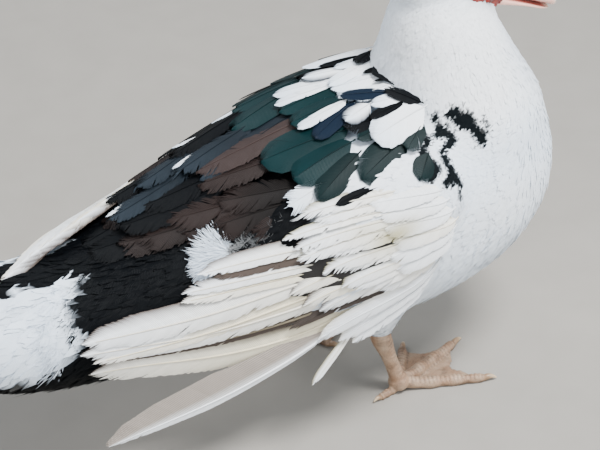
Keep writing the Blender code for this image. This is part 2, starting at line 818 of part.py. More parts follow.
def make_tail(trunk):
    rings = []
    for x in eased_places(TAIL_BODY[::-1], 9):
        middle, half_height, half_width = smooth_row(TAIL_BODY[::-1], x)
        ring = []
        for k in range(16):
            out, up = rounded(2 * math.pi * k / 16, 2.3)
            ring.append(Vector((x, out * half_width, middle + up * half_height)))
        rings.append(ring)
    body = loft("tail", rings)
    quills = [
        tail_quill(pair, side) for pair in range(TAIL_QUILLS // 2) for side in (RIGHT, LEFT)
    ]
    tail = cut(join([body] + quills), grown(trunk))
    tail.name = "tail"
    return tail


MATERIALS = {  # linear colour, roughness
    "white_plumage": ((0.80, 0.81, 0.80), 0.75),
    "black_plumage": ((0.020, 0.024, 0.030), 0.60),
    "flight_feathers": ((0.72, 0.70, 0.62), 0.65),
    "leg_skin": ((0.42, 0.27, 0.16), 0.55),
    "claw_horn": ((0.35, 0.24, 0.16), 0.40),
    "bill_horn": ((0.80, 0.46, 0.38), 0.35),
    "red_skin": ((0.50, 0.04, 0.03), 0.45),
    "eye": ((0.06, 0.03, 0.01), 0.08),
}


def paint(obj, slot):
    material = bpy.data.materials.get(slot)
    if material is None:
        colour, roughness = MATERIALS[slot]
        material = bpy.data.materials.new(slot)
        material.use_nodes = True
        shader = material.node_tree.nodes["Principled BSDF"]
        shader.inputs["Base Color"].default_value = (*colour, 1)
        shader.inputs["Roughness"].default_value = roughness
        material.diffuse_color = (*colour, 1)
    obj.data.materials.clear()
    obj.data.materials.append(material)
    return obj


def set_on_origin(objects):
    """Parents the parts to one empty, moved so that the origin is under the middle of the duck."""
    points = [v.co for obj in objects for v in obj.data.vertices]
    low = Vector((min(p.x for p in points), min(p.y for p in points), 0))
    high = Vector((max(p.x for p in points), max(p.y for p in points), 0))
    parts = bpy.data.collections.new("muscovy_duck")
    bpy.context.scene.collection.children.link(parts)
    root = bpy.data.objects.new("whole_duck", None)
    root.location = -(low + high) / 2
    parts.objects.link(root)
    for obj in objects:
        obj.parent = root
        for holder in list(obj.users_collection):
            holder.objects.unlink(obj)
        parts.objects.link(obj)


def main():
    for obj in list(bpy.data.objects):
        bpy.data.objects.remove(obj)

    trunk = whole_trunk()
    neck = whole_neck()
    head = make_head()
    eyes = {name: make_eye("eye_" + name, side) for name, side in SIDES.items()}
    upper = make_bill("bill_upper", UPPER_BILL, 2.6)
    lower = make_bill("bill_lower", LOWER_BILL, 2.8)
    for side in (RIGHT, LEFT):
        cut(upper, nostril_cutter(side))

    cut(lower, grown(upper))
    for eye in eyes.values():
        cut(head, grown(eye))
    plain_head = whole_head()
    cut(upper, grown(plain_head))
    cut(lower, grown(plain_head))
    cut(lower, grown(neck))
    bpy.data.objects.remove(plain_head)
    cut(neck, grown(head))
    cut(neck, grown(trunk))

    torso, rump = make_torso(trunk), make_rump(trunk)
    tail = make_tail(trunk)
    model = [
        paint(torso, "white_plumage"),
        paint(rump, "black_plumage"),
        paint(neck, "white_plumage"),
        paint(head, "white_plumage"),
        paint(upper, "bill_horn"),
        paint(lower, "bill_horn"),
        paint(tail, "black_plumage"),
    ]
    model += [paint(eye, "eye") for eye in eyes.values()]
    for side_name in SIDES:
        shank = make_shank(side_name)
        thigh = cut(cut(make_thigh(side_name), grown(trunk)), grown(shank))
        wing = cut(make_wing(side_name, trunk), grown(neck))
        model.append(paint(wing, "flight_feathers"))
        model.append(paint(thigh, "white_plumage"))
        model.append(paint(shank, "leg_skin"))
        foot = make_foot(side_name)
        model.append(paint(foot, "leg_skin"))
        for toe in TOES:
            model.append(paint(cut(make_claw(side_name, toe), grown(foot)), "claw_horn"))
    bpy.data.objects.remove(trunk)

    for obj in model:
        obj.data.shade_smooth()
        obj.data.set_sharp_from_angle(angle=math.radians(40))
    set_on_origin(model)


main()
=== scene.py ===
"""Looks of a standing Muscovy duck, a still, life-size museum model.

The duck is drawn in metres round the middle of its trunk: +X to the bill, +Y to its left, floor at z = 0.
Every piece is moved by SHIFT as it is made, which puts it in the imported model's frame. Plumage is real
mesh: a plain skin, small plumes set along the lie of the coat, and long feathers built barb by barb.
"""

import math

import bpy
import numpy as np
from mathutils import Matrix, Vector
from mathutils.bvhtree import BVHTree


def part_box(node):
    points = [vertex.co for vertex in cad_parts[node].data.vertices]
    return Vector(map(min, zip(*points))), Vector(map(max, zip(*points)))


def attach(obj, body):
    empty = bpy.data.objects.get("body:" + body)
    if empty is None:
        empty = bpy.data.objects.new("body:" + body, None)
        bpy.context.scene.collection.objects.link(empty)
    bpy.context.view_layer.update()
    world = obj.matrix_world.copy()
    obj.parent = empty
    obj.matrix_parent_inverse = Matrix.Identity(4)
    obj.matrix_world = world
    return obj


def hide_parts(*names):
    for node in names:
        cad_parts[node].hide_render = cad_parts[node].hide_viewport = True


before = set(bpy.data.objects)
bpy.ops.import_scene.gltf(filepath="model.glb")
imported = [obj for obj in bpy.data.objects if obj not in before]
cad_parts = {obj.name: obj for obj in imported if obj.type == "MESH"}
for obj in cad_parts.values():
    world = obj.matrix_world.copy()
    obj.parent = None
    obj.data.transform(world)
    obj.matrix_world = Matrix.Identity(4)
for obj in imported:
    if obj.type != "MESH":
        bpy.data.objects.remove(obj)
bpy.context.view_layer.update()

RIGHT, LEFT = -1, 1
SIDES = {"right": RIGHT, "left": LEFT}

# Trunk: height of the back, height of the belly and half width at each place along the body.
TRUNK = (
    (-0.318, 0.1600, 0.1480, 0.005),
    (-0.304, 0.1625, 0.1260, 0.027),
    (-0.272, 0.1645, 0.0980, 0.046),
    (-0.225, 0.1690, 0.0830, 0.057),
    (-0.165, 0.1800, 0.0780, 0.067),
    (-0.095, 0.2000, 0.0740, 0.079),
    (-0.030, 0.2260, 0.0710, 0.091),
    (0.025, 0.2470, 0.0700, 0.098),
    (0.080, 0.2595, 0.0700, 0.101),
    (0.130, 0.2650, 0.0745, 0.098),
    (0.175, 0.2620, 0.0880, 0.089),
    (0.210, 0.2520, 0.1080, 0.073),
    (0.237, 0.2360, 0.1370, 0.048),
    (0.250, 0.2080, 0.1820, 0.008),
)
TRUNK_ROUNDNESS = 2.25
WIDEST_SHARE = 0.46

# Neck: height, centre forward, half depth fore and aft, half width.
NECK = (
    (0.205, 0.162, 0.080, 0.084),
    (0.236, 0.163, 0.079, 0.078),
    (0.262, 0.160, 0.068, 0.067),
    (0.286, 0.157, 0.057, 0.056),
    (0.308, 0.153, 0.049, 0.046),
    (0.326, 0.149, 0.040, 0.037),
    (0.341, 0.150, 0.030, 0.027),
    (0.350, 0.151, 0.012, 0.011),
)

# Head, along its own axis from nape to bill: place, crown height, jaw depth, half width.
HEAD_CENTRE = np.array((0.159, 0.0, 0.345))
HEAD_DOWN = math.radians(17)
HEAD = (
    (-0.047, 0.004, -0.006, 0.004),
    (-0.043, 0.016, -0.018, 0.015),
    (-0.030, 0.027, -0.029, 0.0235),
    (-0.010, 0.0325, -0.033, 0.0275),
    (0.008, 0.0325, -0.031, 0.0275),
    (0.024, 0.0275, -0.026, 0.0240),
    (0.038, 0.0205, -0.021, 0.0190),
    (0.046, 0.0150, -0.016, 0.0150),
    (0.050, 0.006, -0.008, 0.006),
)
HEAD_ROUNDNESS = 2.1
EYE_RADIUS = 0.0058
EYE = (0.014, 0.0218, 0.0090)

UPPER_BILL = (
    (0.034, 0.0185, -0.0035, 0.0135),
    (0.044, 0.0168, -0.0055, 0.0135),
    (0.056, 0.0118, -0.0078, 0.0122),
    (0.070, 0.0060, -0.0098, 0.0117),
    (0.084, 0.0016, -0.0112, 0.0126),
    (0.096, -0.0018, -0.0124, 0.0122),
    (0.103, -0.0050, -0.0142, 0.0084),
    (0.1065, -0.0095, -0.0154, 0.0030),
)
LOWER_BILL = (
    (0.034, -0.0062, -0.0165, 0.0112),
    (0.044, -0.0078, -0.0165, 0.0112),
    (0.058, -0.0100, -0.0162, 0.0102),
    (0.074, -0.0120, -0.0160, 0.0097),
    (0.090, -0.0138, -0.0168, 0.0098),
    (0.0985, -0.0150, -0.0172, 0.0068),
    (0.1015, -0.0156, -0.0172, 0.0026),
)
NOSTRIL = (0.057, 0.0108, 0.0045)
NOSTRIL_SIZE = (0.0042, 0.0022, 0.0016)

FOOT_OUT = 0.061
FOOT_X = {"right": 0.090, "left": 0.038}
HOCK_BACK, HOCK_HEIGHT = 0.019, 0.064
SHANK_RADIUS, HOCK_RADIUS = 0.0064, 0.0086
KNUCKLE_HEIGHT, KNUCKLE_RADIUS = 0.0092, 0.0090
# Toes: angle in from straight ahead, length without the claw, thickness at the root and the end.
TOES = {
    "inner": (58, 0.052, 0.0052, 0.0036),
    "middle": (24, 0.077, 0.0058, 0.0038),
    "outer": (-17, 0.074, 0.0056, 0.0037),
    "hind": (196, 0.021, 0.0038, 0.0030),
}
CLAW_LENGTH = {"inner": 0.011, "middle": 0.012, "outer": 0.011, "hind": 0.008}
WEB_THICKNESS = 0.0016

WING_BODY = (  # place along the body, upper and lower edge down the side, thickness
    (-0.052, 0.070, 0.118, 0.0060),
    (-0.020, 0.048, 0.154, 0.0110),
    (0.020, 0.034, 0.181, 0.0150),
    (0.060, 0.034, 0.178, 0.0175),
    (0.092, 0.050, 0.160, 0.0165),
    (0.114, 0.076, 0.142, 0.0110),
    (0.126, 0.098, 0.124, 0.0040),
)
WING_RISE = {"right": 0.0, "left": 0.008}
WING_FULLNESS = {"right": 1.0, "left": 0.65}

TAIL_BODY = (  # place along the body, middle height, half height, half width
    (-0.298, 0.1650, 0.0020, 0.0290),
    (-0.280, 0.1655, 0.0060, 0.0330),
    (-0.250, 0.1665, 0.0090, 0.0340),
    (-0.218, 0.1690, 0.0085, 0.0320),
    (-0.190, 0.1745, 0.0040, 0.0200),
)
TAIL_ROUNDNESS = 2.3


def linear(hex_colour):
    """An sRGB hex colour as linear red, green and blue."""
    parts = [int(hex_colour[i : i + 2], 16) / 255 for i in (1, 3, 5)]
    return np.array([c / 12.92 if c <= 0.04045 else ((c + 0.055) / 1.055) ** 2.4 for c in parts])


WHITE = linear("#ebeff2")
COOL_WHITE = linear("#dae6f2")
CREAM = linear("#e8dfc4")
STAIN = linear("#a39a6c")
BLUE_BLACK = linear("#05070a")
SOFT_BLACK = linear("#0a0c0e")
SLATE = linear("#232b32")
TEAL = linear("#062022")
DEEP_GREEN = linear("#071718")
NAVY = linear("#0c1826")
BROWN = linear("#312725")
MID_BROWN = linear("#1f1715")
DARK_BROWN = linear("#0f0c0b")
STRAW = linear("#cdbf9f")


# ---------------------------------------------------------------- curves and surfaces


def row_at(table, place):
    """The other columns of a table at these places, on a smooth curve through its rows."""
    table = np.asarray(table, float)
    keys, values = table[:, 0], table[:, 1:]
    place = np.asarray(place, float)
    i = np.clip(np.searchsorted(keys, place, side="right") - 1, 0, len(keys) - 2)
    before, after = np.maximum(i - 1, 0), np.minimum(i + 2, len(keys) - 1)
    span = (keys[i + 1] - keys[i])[..., None]
    t = np.clip((place - keys[i])[..., None] / span, 0.0, 1.0)
    a, b = values[i], values[i + 1]
    slope_a = (b - values[before]) / (keys[i + 1] - keys[before])[..., None] * span
    slope_b = (values[after] - a) / (keys[after] - keys[i])[..., None] * span
    return (
        (2 * t**3 - 3 * t**2 + 1) * a
        + (t**3 - 2 * t**2 + t) * slope_a
        + (3 * t**2 - 2 * t**3) * b
        + (t**3 - t**2) * slope_b
    )


def eased_places(table, count):
    """Places from the first row to the last, closer together near both ends."""
    first, last = table[0][0], table[-1][0]
    return first + (last - first) * (1 - np.cos(np.pi * np.arange(count) / (count - 1))) / 2


def smooth_step(low, high, value):
    t = np.clip((value - low) / (high - low), 0.0, 1.0)
    return t * t * (3 - 2 * t)


def unit(vectors):
    return vectors / np.maximum(np.linalg.norm(vectors, axis=-1, keepdims=True), 1e-12)


def blend(start, end, share):
    return start * (1 - share) + end * share


def stacked(*parts):
    """Arrays side by side along a new last axis, each stretched to the others' shape."""
    return np.stack(np.broadcast_arrays(*parts), -1)


def round_turn(count):
    """Angles spread evenly round a full turn."""
    return 2 * np.pi * np.arange(count) / count


def share_round(sine, cosine):
    """How far round a full turn this direction lies, from 0 to 1."""
    return (np.arctan2(sine, cosine) / (2 * np.pi)) % 1.0


def rounded(angle, power):
    """Cosine and sine of the angle on a squarish circle."""
    c, s = np.cos(angle), np.sin(angle)
    return np.sign(c) * np.abs(c) ** (2 / power), np.sign(s) * np.abs(s) ** (2 / power)


def ripple(points, size, seed):
    """Smooth noise from -1 to 1 with lumps about this size."""
    draw = np.random.default_rng(seed)
    total = np.zeros(len(points))
    for _ in range(8):
        direction = unit(draw.normal(size=3)) * (2 * np.pi / (size * draw.uniform(0.7, 1.6)))
        total += np.sin(points @ direction + draw.uniform(0, 2 * np.pi))
    return np.clip(total / 3.2, -1, 1)


HEAD_TURN = np.array(Matrix.Rotation(HEAD_DOWN, 3, "Y"))


def head_to_world(points):
    """Places along the head's axis, out to the side and up, in the duck's frame."""
    return HEAD_CENTRE + np.asarray(points, float) @ HEAD_TURN.T


def world_to_head(points):
    return (np.asarray(points, float) - HEAD_CENTRE) @ HEAD_TURN


def trunk_section(x):
    """Height of the widest level, height above it, depth below it, and half width."""
    top, bottom, half_width = np.moveaxis(row_at(TRUNK, x), -1, 0)
    widest = bottom + (top - bottom) * WIDEST_SHARE
    return widest, top - widest, widest - bottom, half_width


FLANK_STEP = 0.0015
FLANK_X = np.arange(TRUNK[0][0] + FLANK_STEP, TRUNK[-1][0], FLANK_STEP)
FLANK_DOWN = np.arange(0.0, 0.34, FLANK_STEP)


def flank_table():
    """For each place along the body and distance down its side: out, up, and which way is off it."""
    out_share, up_share = rounded(np.linspace(np.pi / 2, 0, 97), TRUNK_ROUNDNESS)
    rows = []
    for x in FLANK_X:
        widest, above, _, half_width = trunk_section(x)
        out = np.append(out_share * half_width, half_width - 0.03)
        up = np.append(widest + up_share * above, widest - 0.3)
        length = np.hypot(np.diff(out), np.diff(up))
        along = np.append(0.0, np.cumsum(length))
        middle = (along[1:] + along[:-1]) / 2
        off_out, off_up = -np.diff(up) / length, np.diff(out) / length
        columns = ((along, out), (along, up), (middle, off_out), (middle, off_up))
        rows.append(stacked(*(np.interp(FLANK_DOWN, at, value) for at, value in columns)))
    return np.array(rows)


FLANK = flank_table()


def on_flank(side, x, down, off):
    """Points this far down the side from the ridge of the back, measured round the trunk, and this far
    off it. A negative distance lies past the ridge, on the other side."""
    i = np.clip((x - FLANK_X[0]) / FLANK_STEP, 0, len(FLANK_X) - 1.001)
    j = np.clip(np.abs(down) / FLANK_STEP, 0, len(FLANK_DOWN) - 1.001)
    i0, j0 = i.astype(int), j.astype(int)
    fi, fj = (i - i0)[..., None], (j - j0)[..., None]
    near = blend(FLANK[i0, j0], FLANK[i0, j0 + 1], fj)
    far = blend(FLANK[i0 + 1, j0], FLANK[i0 + 1, j0 + 1], fj)
    out, up, off_out, off_up = np.moveaxis(blend(near, far, fi), -1, 0)
    hand = side * np.where(down < 0, -1, 1)
    return stacked(x, hand * (out + off_out * off), up + off_up * off)


def down_side(points):
    """How far down the side of the trunk from the ridge of the back each point is."""
    i = np.clip(((points[:, 0] - FLANK_X[0]) / FLANK_STEP).astype(int), 0, len(FLANK_X) - 1)
    found = np.empty(len(points))
    for start in range(0, len(points), 4000):
        part = slice(start, start + 4000)
        rows = FLANK[i[part]]
        gap = (rows[..., 0] - np.abs(points[part, 1])[:, None]) ** 2
        gap += (rows[..., 1] - points[part, 2][:, None]) ** 2
        found[part] = FLANK_DOWN[gap.argmin(1)]
    return found


def quads_between(a, b):
    """Four-sided faces between two index grids that lie side by side."""
    return stacked(a[:-1], b[:-1], b[1:], a[1:]).reshape(-1, 4)


def loft(rings):
    """Points and faces of a closed body through rings (count, points, 3), its ends fanned shut."""
    count, around, _ = rings.shape
    grid = np.arange(count * around).reshape(count, around)
    following = np.roll(grid, -1, 1)
    ends = np.array([rings[0].mean(0), rings[-1].mean(0)])
    first = stacked(count * around, following[0], grid[0])
    last = stacked(count * around + 1, grid[-1], following[-1])
    faces = [quads_between(grid, following), np.concatenate([first, last])]
    return np.concatenate([rings.reshape(-1, 3), ends]), faces


def ball(centre, radius, turns=24):
    angle = np.linspace(0, np.pi, turns // 2 + 1)[1:-1]
    around = np.arange(turns) * 2 * np.pi / turns
    sine = np.sin(angle)[:, None]
    rings = stacked(np.cos(angle)[:, None], sine * np.cos(around), sine * np.sin(around))
    return loft(np.asarray(centre) + rings * radius)


def gathered(bodies):
    """Several (points, face lists) as one."""
    points, faces, start = [], [], 0
    for body_points, body_faces in bodies:
        points.append(body_points)
        faces += [f + start for f in body_faces]
        start += len(body_points)
    return np.concatenate(points), faces


# ---------------------------------------------------------------- making pieces

EYE_IN_FRAME = sum(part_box("eye_right"), Vector()) / 2
SHIFT = np.array(EYE_IN_FRAME) - head_to_world((EYE[0], RIGHT * EYE[1], EYE[2]))


def turned_out(faces, points, facing):
    """The faces, all turned over if the first of them point against the way their points face."""
    a, b, c = (points[faces[0][:, k]] for k in range(3))
    agree = (np.cross(b - a, c - a) * facing[faces[0][:, 0]]).sum(1)
    return faces if np.median(agree) > 0 else [f[:, ::-1] for f in faces]


def corner_facing(points, faces, facing):
    """Shading normals for each face's corners: its points' own, turned over on an underside, or the
    face's own on an edge."""
    ring = points[faces] - points[faces].mean(1, keepdims=True)
    flat = unit(np.cross(ring, np.roll(ring, -1, 1)).sum(1, keepdims=True))
    shaded = facing[faces]
    agree = (flat * shaded).sum(-1, keepdims=True)
    return np.where(agree > 0.3, shaded, np.where(agree < -0.3, -shaded, flat))


def raw_mesh(name, points, faces):
    mesh = bpy.data.meshes.new(name)
    sizes = np.concatenate([np.full(len(f), f.shape[1]) for f in faces])
    corners = np.concatenate([f.ravel() for f in faces]).astype(np.int32)
    mesh.vertices.add(len(points))
    mesh.vertices.foreach_set("co", np.asarray(points, np.float32).ravel())
    mesh.loops.add(len(corners))
    mesh.loops.foreach_set("vertex_index", corners)
    mesh.polygons.add(len(sizes))
    starts = np.append(0, np.cumsum(sizes)[:-1]).astype(np.int32)
    mesh.polygons.foreach_set("loop_start", starts)
    mesh.update(calc_edges=True)
    return mesh, corners


def make_piece(
    name, points, faces, material, tint=None, patch=None, barb=None, facing=None, stands_for=()
):
    """A shown piece. tint is a colour for each point, patch its place on the OFBake map, barb its place
    in its feather: metres along the barb rows and metres across. facing is which way it is shaded."""
    mesh, corners = raw_mesh(name, points + SHIFT, faces)
    if tint is not None:
        colours = np.ones((len(points), 4), np.float32)
        colours[:, :3] = tint
        mesh.color_attributes.new("tint", "FLOAT_COLOR", "POINT").data.foreach_set("color", colours.ravel())
    for map_name, places in (("OFBake", patch), ("barbs", barb)):
        if places is not None:
            layer = mesh.uv_layers.new(name=map_name)
            layer.data.foreach_set("uv", places[corners].astype(np.float32).ravel())
    mesh.shade_smooth()
    if facing is not None:
        shaded = np.concatenate([corner_facing(points, f, facing).reshape(-1, 3) for f in faces])
        mesh.normals_split_custom_set(shaded.tolist())
    obj = bpy.data.objects.new(name, mesh)
    bpy.context.scene.collection.objects.link(obj)
    mesh.materials.append(material)
    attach(obj, "root")
    if stands_for:
        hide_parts(*stands_for)
    return obj


def remeshed(bodies, voxel):
    """One even surface round all of these closed bodies: its points and its four-sided faces."""
    mesh, _ = raw_mesh("rough", *gathered(bodies))
    obj = bpy.data.objects.new("rough", mesh)
    bpy.context.scene.collection.objects.link(obj)
    even = obj.modifiers.new("even", "REMESH")
    even.mode = "VOXEL"
    even.voxel_size = voxel
    graph = bpy.context.evaluated_depsgraph_get()
    made = obj.evaluated_get(graph).to_mesh()
    points = np.empty(len(made.vertices) * 3, np.float32)
    made.vertices.foreach_get("co", points)
    corners = np.empty(len(made.loops), np.int32)
    made.loops.foreach_get("vertex_index", corners)
    obj.evaluated_get(graph).to_mesh_clear()
    bpy.data.objects.remove(obj)
    bpy.data.meshes.remove(mesh)
    return points.reshape(-1, 3).astype(float), corners.reshape(-1, 4)


def relaxed(points, quads, rounds, share=1.0):
    """Moves each point towards the middle of its neighbours, by half the share in each round."""
    edges = np.concatenate([quads[:, [k, (k + 1) % 4]] for k in range(4)])
    count = np.bincount(edges.ravel(), minlength=len(points))[:, None]
    share = np.broadcast_to(np.asarray(share), len(points))[:, None] / 2
    here, there = edges.T
    for _ in range(rounds):
        sums = [
            np.bincount(here, points[there, axis], len(points))
            + np.bincount(there, points[here, axis], len(points))
            for axis in range(3)
        ]
        points = points + (stacked(*sums) / count - points) * share
    return points


def point_normals(points, quads):
    a, b, c, d = (points[quads[:, k]] for k in range(4))
    face = np.cross(c - a, d - b)
    total = np.zeros_like(points)
    for axis in range(3):
        for k in range(4):
            total[:, axis] += np.bincount(quads[:, k], face[:, axis], len(points))
    return unit(total)


# ---------------------------------------------------------------- materials


def add_node(tree, kind, inputs=None, **settings):
    """Adds a node with its settings. An input is a value or another node's output."""
    node = tree.nodes.new(kind)
    for name, value in settings.items():
        setattr(node, name, value)
    for socket, value in (inputs or {}).items():
        if isinstance(value, bpy.types.NodeSocket):
            tree.links.new(value, node.inputs[socket])
        else:
            node.inputs[socket].default_value = value
    return node


def new_material(name):
    """A material, its node tree and its Principled shader."""
    material = bpy.data.materials.new(name)
    material.use_nodes = True
    return material, material.node_tree, material.node_tree.nodes["Principled BSDF"]


def per_metre(millimetres):
    """The texture scale that gives a pattern this size."""
    return 1000.0 / millimetres


def cloud(tree, millimetres, detail):
    """Soft noise with patches about this size."""
    place = add_node(tree, "ShaderNodeTexCoord").outputs["Object"]
    inputs = {"Vector": place, "Scale": per_metre(millimetres), "Detail": detail}
    return add_node(tree, "ShaderNodeTexNoise", inputs).outputs["Fac"]


def ranged(tree, value, low, high, top=1.0):
    """A value that runs from 0 to top, laid out from low to high."""
    inputs = {"Value": value, "From Max": top, "To Min": low, "To Max": high}
    return add_node(tree, "ShaderNodeMapRange", inputs).outputs["Result"]


def surface(tree, shader, shade, height, relief, depth, sockets):
    """Shades the mesh's own tint, raises the relief and sets the shader's other sockets."""
    tint = add_node(tree, "ShaderNodeVertexColor", layer_name="tint").outputs["Color"]
    colour = add_node(tree, "ShaderNodeVectorMath", {0: tint, "Scale": shade}, operation="SCALE")
    bump = add_node(tree, "ShaderNodeBump", {"Height": height, "Strength": relief, "Distance": depth})
    tree.links.new(colour.outputs["Vector"], shader.inputs["Base Color"])
    tree.links.new(bump.outputs["Normal"], shader.inputs["Normal"])
    for socket, value in sockets.items():
        shader.inputs[socket].default_value = value


def softness(weight, reach):
    """Sockets for light that passes into skin or horn, as far as reach in red, green and blue."""
    return {"Subsurface Weight": weight, "Subsurface Radius": reach, "Subsurface Scale": 1.0}


GROOVE_DEPTH, SCALE_DEPTH, STREAK_DEPTH = 0.0002, 0.0005, 0.0003
FEATHER_IOR = 1.55
FEATHER_CLOUD_MM, SKIN_CLOUD_MM, HORN_STREAK_MM = 9.0, 5.0, 3.5


def plumage(name, roughness, gloss, sheen, sheen_tint, barb_mm, relief, mottle):
    """Feather: keratin barbs lying side by side, whose fine grooves soften the light. The tint of
    each feather comes with its mesh."""
    material, tree, shader = new_material(name)
    shade = ranged(tree, cloud(tree, FEATHER_CLOUD_MM, 3.0), 1 - mottle, 1 + mottle)
    barbs = add_node(tree, "ShaderNodeUVMap", uv_map="barbs").outputs["UV"]
    along = add_node(tree, "ShaderNodeSeparateXYZ", {"Vector": barbs}).outputs["X"]
    turn = {0: along, 1: 2 * math.pi * per_metre(barb_mm)}
    angle = add_node(tree, "ShaderNodeMath", turn, operation="MULTIPLY").outputs["Value"]
    groove = add_node(tree, "ShaderNodeMath", {0: angle}, operation="SINE").outputs["Value"]
    sockets = {
        "Roughness": roughness,
        "IOR": FEATHER_IOR,
        "Specular IOR Level": gloss,
        "Sheen Weight": sheen,
        "Sheen Roughness": 0.45,
        "Sheen Tint": (*linear(sheen_tint), 1),
    }
    surface(tree, shader, shade, groove, relief, GROOVE_DEPTH, sockets)
    return material


# Barb grooves are drawn 1.2 to 1.6 mm apart, several times the real spacing, so that they show.
WHITE_FEATHER = plumage("white_contour_feather", 0.62, 0.35, 0.20, "#ffffff", 1.2, 0.22, 0.03)
BLACK_FEATHER = plumage("black_contour_feather", 0.55, 0.05, 0.0, "#6f86a8", 1.2, 0.40, 0.18)
BROWN_FEATHER = plumage("faded_brown_feather", 0.60, 0.12, 0.0, "#b09a90", 1.6, 0.50, 0.20)
GREEN_FEATHER = plumage("iridescent_green_feather", 0.46, 0.08, 0.0, "#2f9a92", 1.4, 0.25, 0.12)
WORN_FEATHER = plumage("worn_flight_feather", 0.66, 0.30, 0.08, "#fff4dc", 1.5, 0.50, 0.08)


# ---------------------------------------------------------------- markings


# Dark marks on the white shoulder: from, to (along the body, down the side) and half width.
MARKS = (
    (0.121, 0.053, 0.120, 0.061, 0.0024),
    (0.118, 0.066, 0.123, 0.065, 0.0048),
    (0.127, 0.071, 0.119, 0.079, 0.0046),
    (0.117, 0.082, 0.116, 0.101, 0.0058),
    (0.107, 0.067, 0.098, 0.077, 0.0044),
    (0.098, 0.086, 0.098, 0.090, 0.0092),
    (0.134, 0.057, 0.151, 0.078, 0.0066),
    (0.154, 0.064, 0.161, 0.073, 0.0018),
    (0.128, 0.022, 0.144, 0.046, 0.0018),
    (0.121, 0.103, 0.120, 0.107, 0.0034),
    (0.106, 0.104, 0.112, 0.101, 0.0028),
    (0.120, 0.111, 0.119, 0.120, 0.0020),
)
MARK_COLOUR = linear("#070d10")
# Where white gives way to black at the stern: distance down the side, place along the body.
STERN_LINE = (
    (0.012, -0.340),
    (0.017, -0.240),
    (0.020, -0.166),
    (0.030, -0.180),
    (0.042, -0.190),
    (0.052, -0.197),
    (0.063, -0.193),
    (0.200, -0.190),
)
# Where the black back begins: distance down the side, place along the body.
BACK_LINE = ((0.0, 0.030), (0.03, 0.020), (0.06, 0.002), (0.09, -0.004), (0.12, -0.03), (0.16, -0.08))
BLACK_DOWN_TO = 0.165
# Lower edge of the white at the stern: place along the body, distance down the side. Below it the stern is
# painted black, partly the black undertail and partly painted shadow under the tail.
STERN_LOW = (
    (-0.320, 0.070),
    (-0.252, 0.085),
    (-0.223, 0.089),
    (-0.207, 0.083),
    (-0.194, 0.076),
    (-0.186, 0.070),
)
TUFT = (-0.076, 0.064, 0.014, 0.010)  # pale flank tuft: along, down, half length, half height


def in_tuft(x, down):
    """How far out from the tuft's middle a place is: 1 on its edge."""
    return np.hypot((x - TUFT[0]) / TUFT[2], (down - TUFT[1]) / TUFT[3])


# The part of each side that the folded wing hides, where no plumes grow and the skin is painted dark brown as
# shade so that the gaps in the wing look dark: place along the body, its upper and lower edge.
WING_COVER = (
    (-0.100, 0.098, 0.102),
    (-0.060, 0.094, 0.124),
    (-0.020, 0.098, 0.142),
    (0.020, 0.100, 0.148),
    (0.060, 0.104, 0.144),
    (0.085, 0.112, 0.132),
    (0.098, 0.120, 0.122),
)


def under_wing(points):
    down = down_side(points) + np.where(points[:, 1] > 0, WING_RISE["left"], 0.0)
    upper, lower = row_at(WING_COVER, points[:, 0]).T
    covered = (down > upper) & (down < lower) & (points[:, 2] < 0.25)
    return covered & (points[:, 0] > WING_COVER[0][0]) & (points[:, 0] < WING_COVER[-1][0])


def markings(points):
    """The plumage's colour at each point of the skin, and how dark a place it is."""
    down = down_side(points)
    x = points[:, 0] + 0.004 * ripple(points, 0.030, 3) + 0.003 * ripple(points, 0.009, 4)
    uneven = down + 0.003 * ripple(points, 0.020, 5)
    dark = smooth_step(0.002, -0.002, x - np.interp(uneven, *np.array(BACK_LINE).T))
    dark *= smooth_step(BLACK_DOWN_TO + 0.004, BLACK_DOWN_TO - 0.004, uneven)
    dark *= smooth_step(-0.002, 0.002, x - np.interp(uneven, *np.array(STERN_LINE).T))
    # Below the white at the stern the plumage is painted black, partly the black undertail and partly painted
    # shadow under the tail.
    low = uneven - np.interp(points[:, 0], *np.array(STERN_LOW).T)
    dark = np.maximum(dark, smooth_step(-0.002, 0.002, low) * (points[:, 0] < -0.17))
    dark = np.where(points[:, 0] < -0.30, 1.0, dark)
    dark *= smooth_step(0.92, 1.04, in_tuft(x, uneven))
    mark = np.zeros(len(points))
    steady = (points[:, 0] + x) / 2, (down + uneven) / 2
    for x0, s0, x1, s1, half_width in MARKS:
        run = np.array((x1 - x0, s1 - s0))
        at = stacked(steady[0] - x0, steady[1] - s0)
        share = np.clip(at @ run / (run @ run), 0, 1)
        gap = np.linalg.norm(at - share[:, None] * run, axis=1) / half_width
        mark = np.maximum(mark, smooth_step(1.0, 0.85, gap + 0.10 * ripple(points, 0.005, 8)))
    on_trunk = on_flank(np.sign(points[:, 1]), points[:, 0], down, np.zeros(len(points)))
    mark *= np.linalg.norm(points - on_trunk, axis=1) < 0.022
    cool = np.maximum(0.5 + 0.5 * ripple(points, 0.09, 6), smooth_step(-0.10, -0.20, points[:, 0]))
    white = WHITE + (COOL_WHITE - WHITE) * cool[:, None]
    black = BLUE_BLACK + (SOFT_BLACK - BLUE_BLACK) * (0.5 + 0.5 * ripple(points, 0.05, 7))[:, None]
    tint = blend(white, black, dark[:, None])
    return blend(tint, MARK_COLOUR, mark[:, None]), np.maximum(dark, mark)


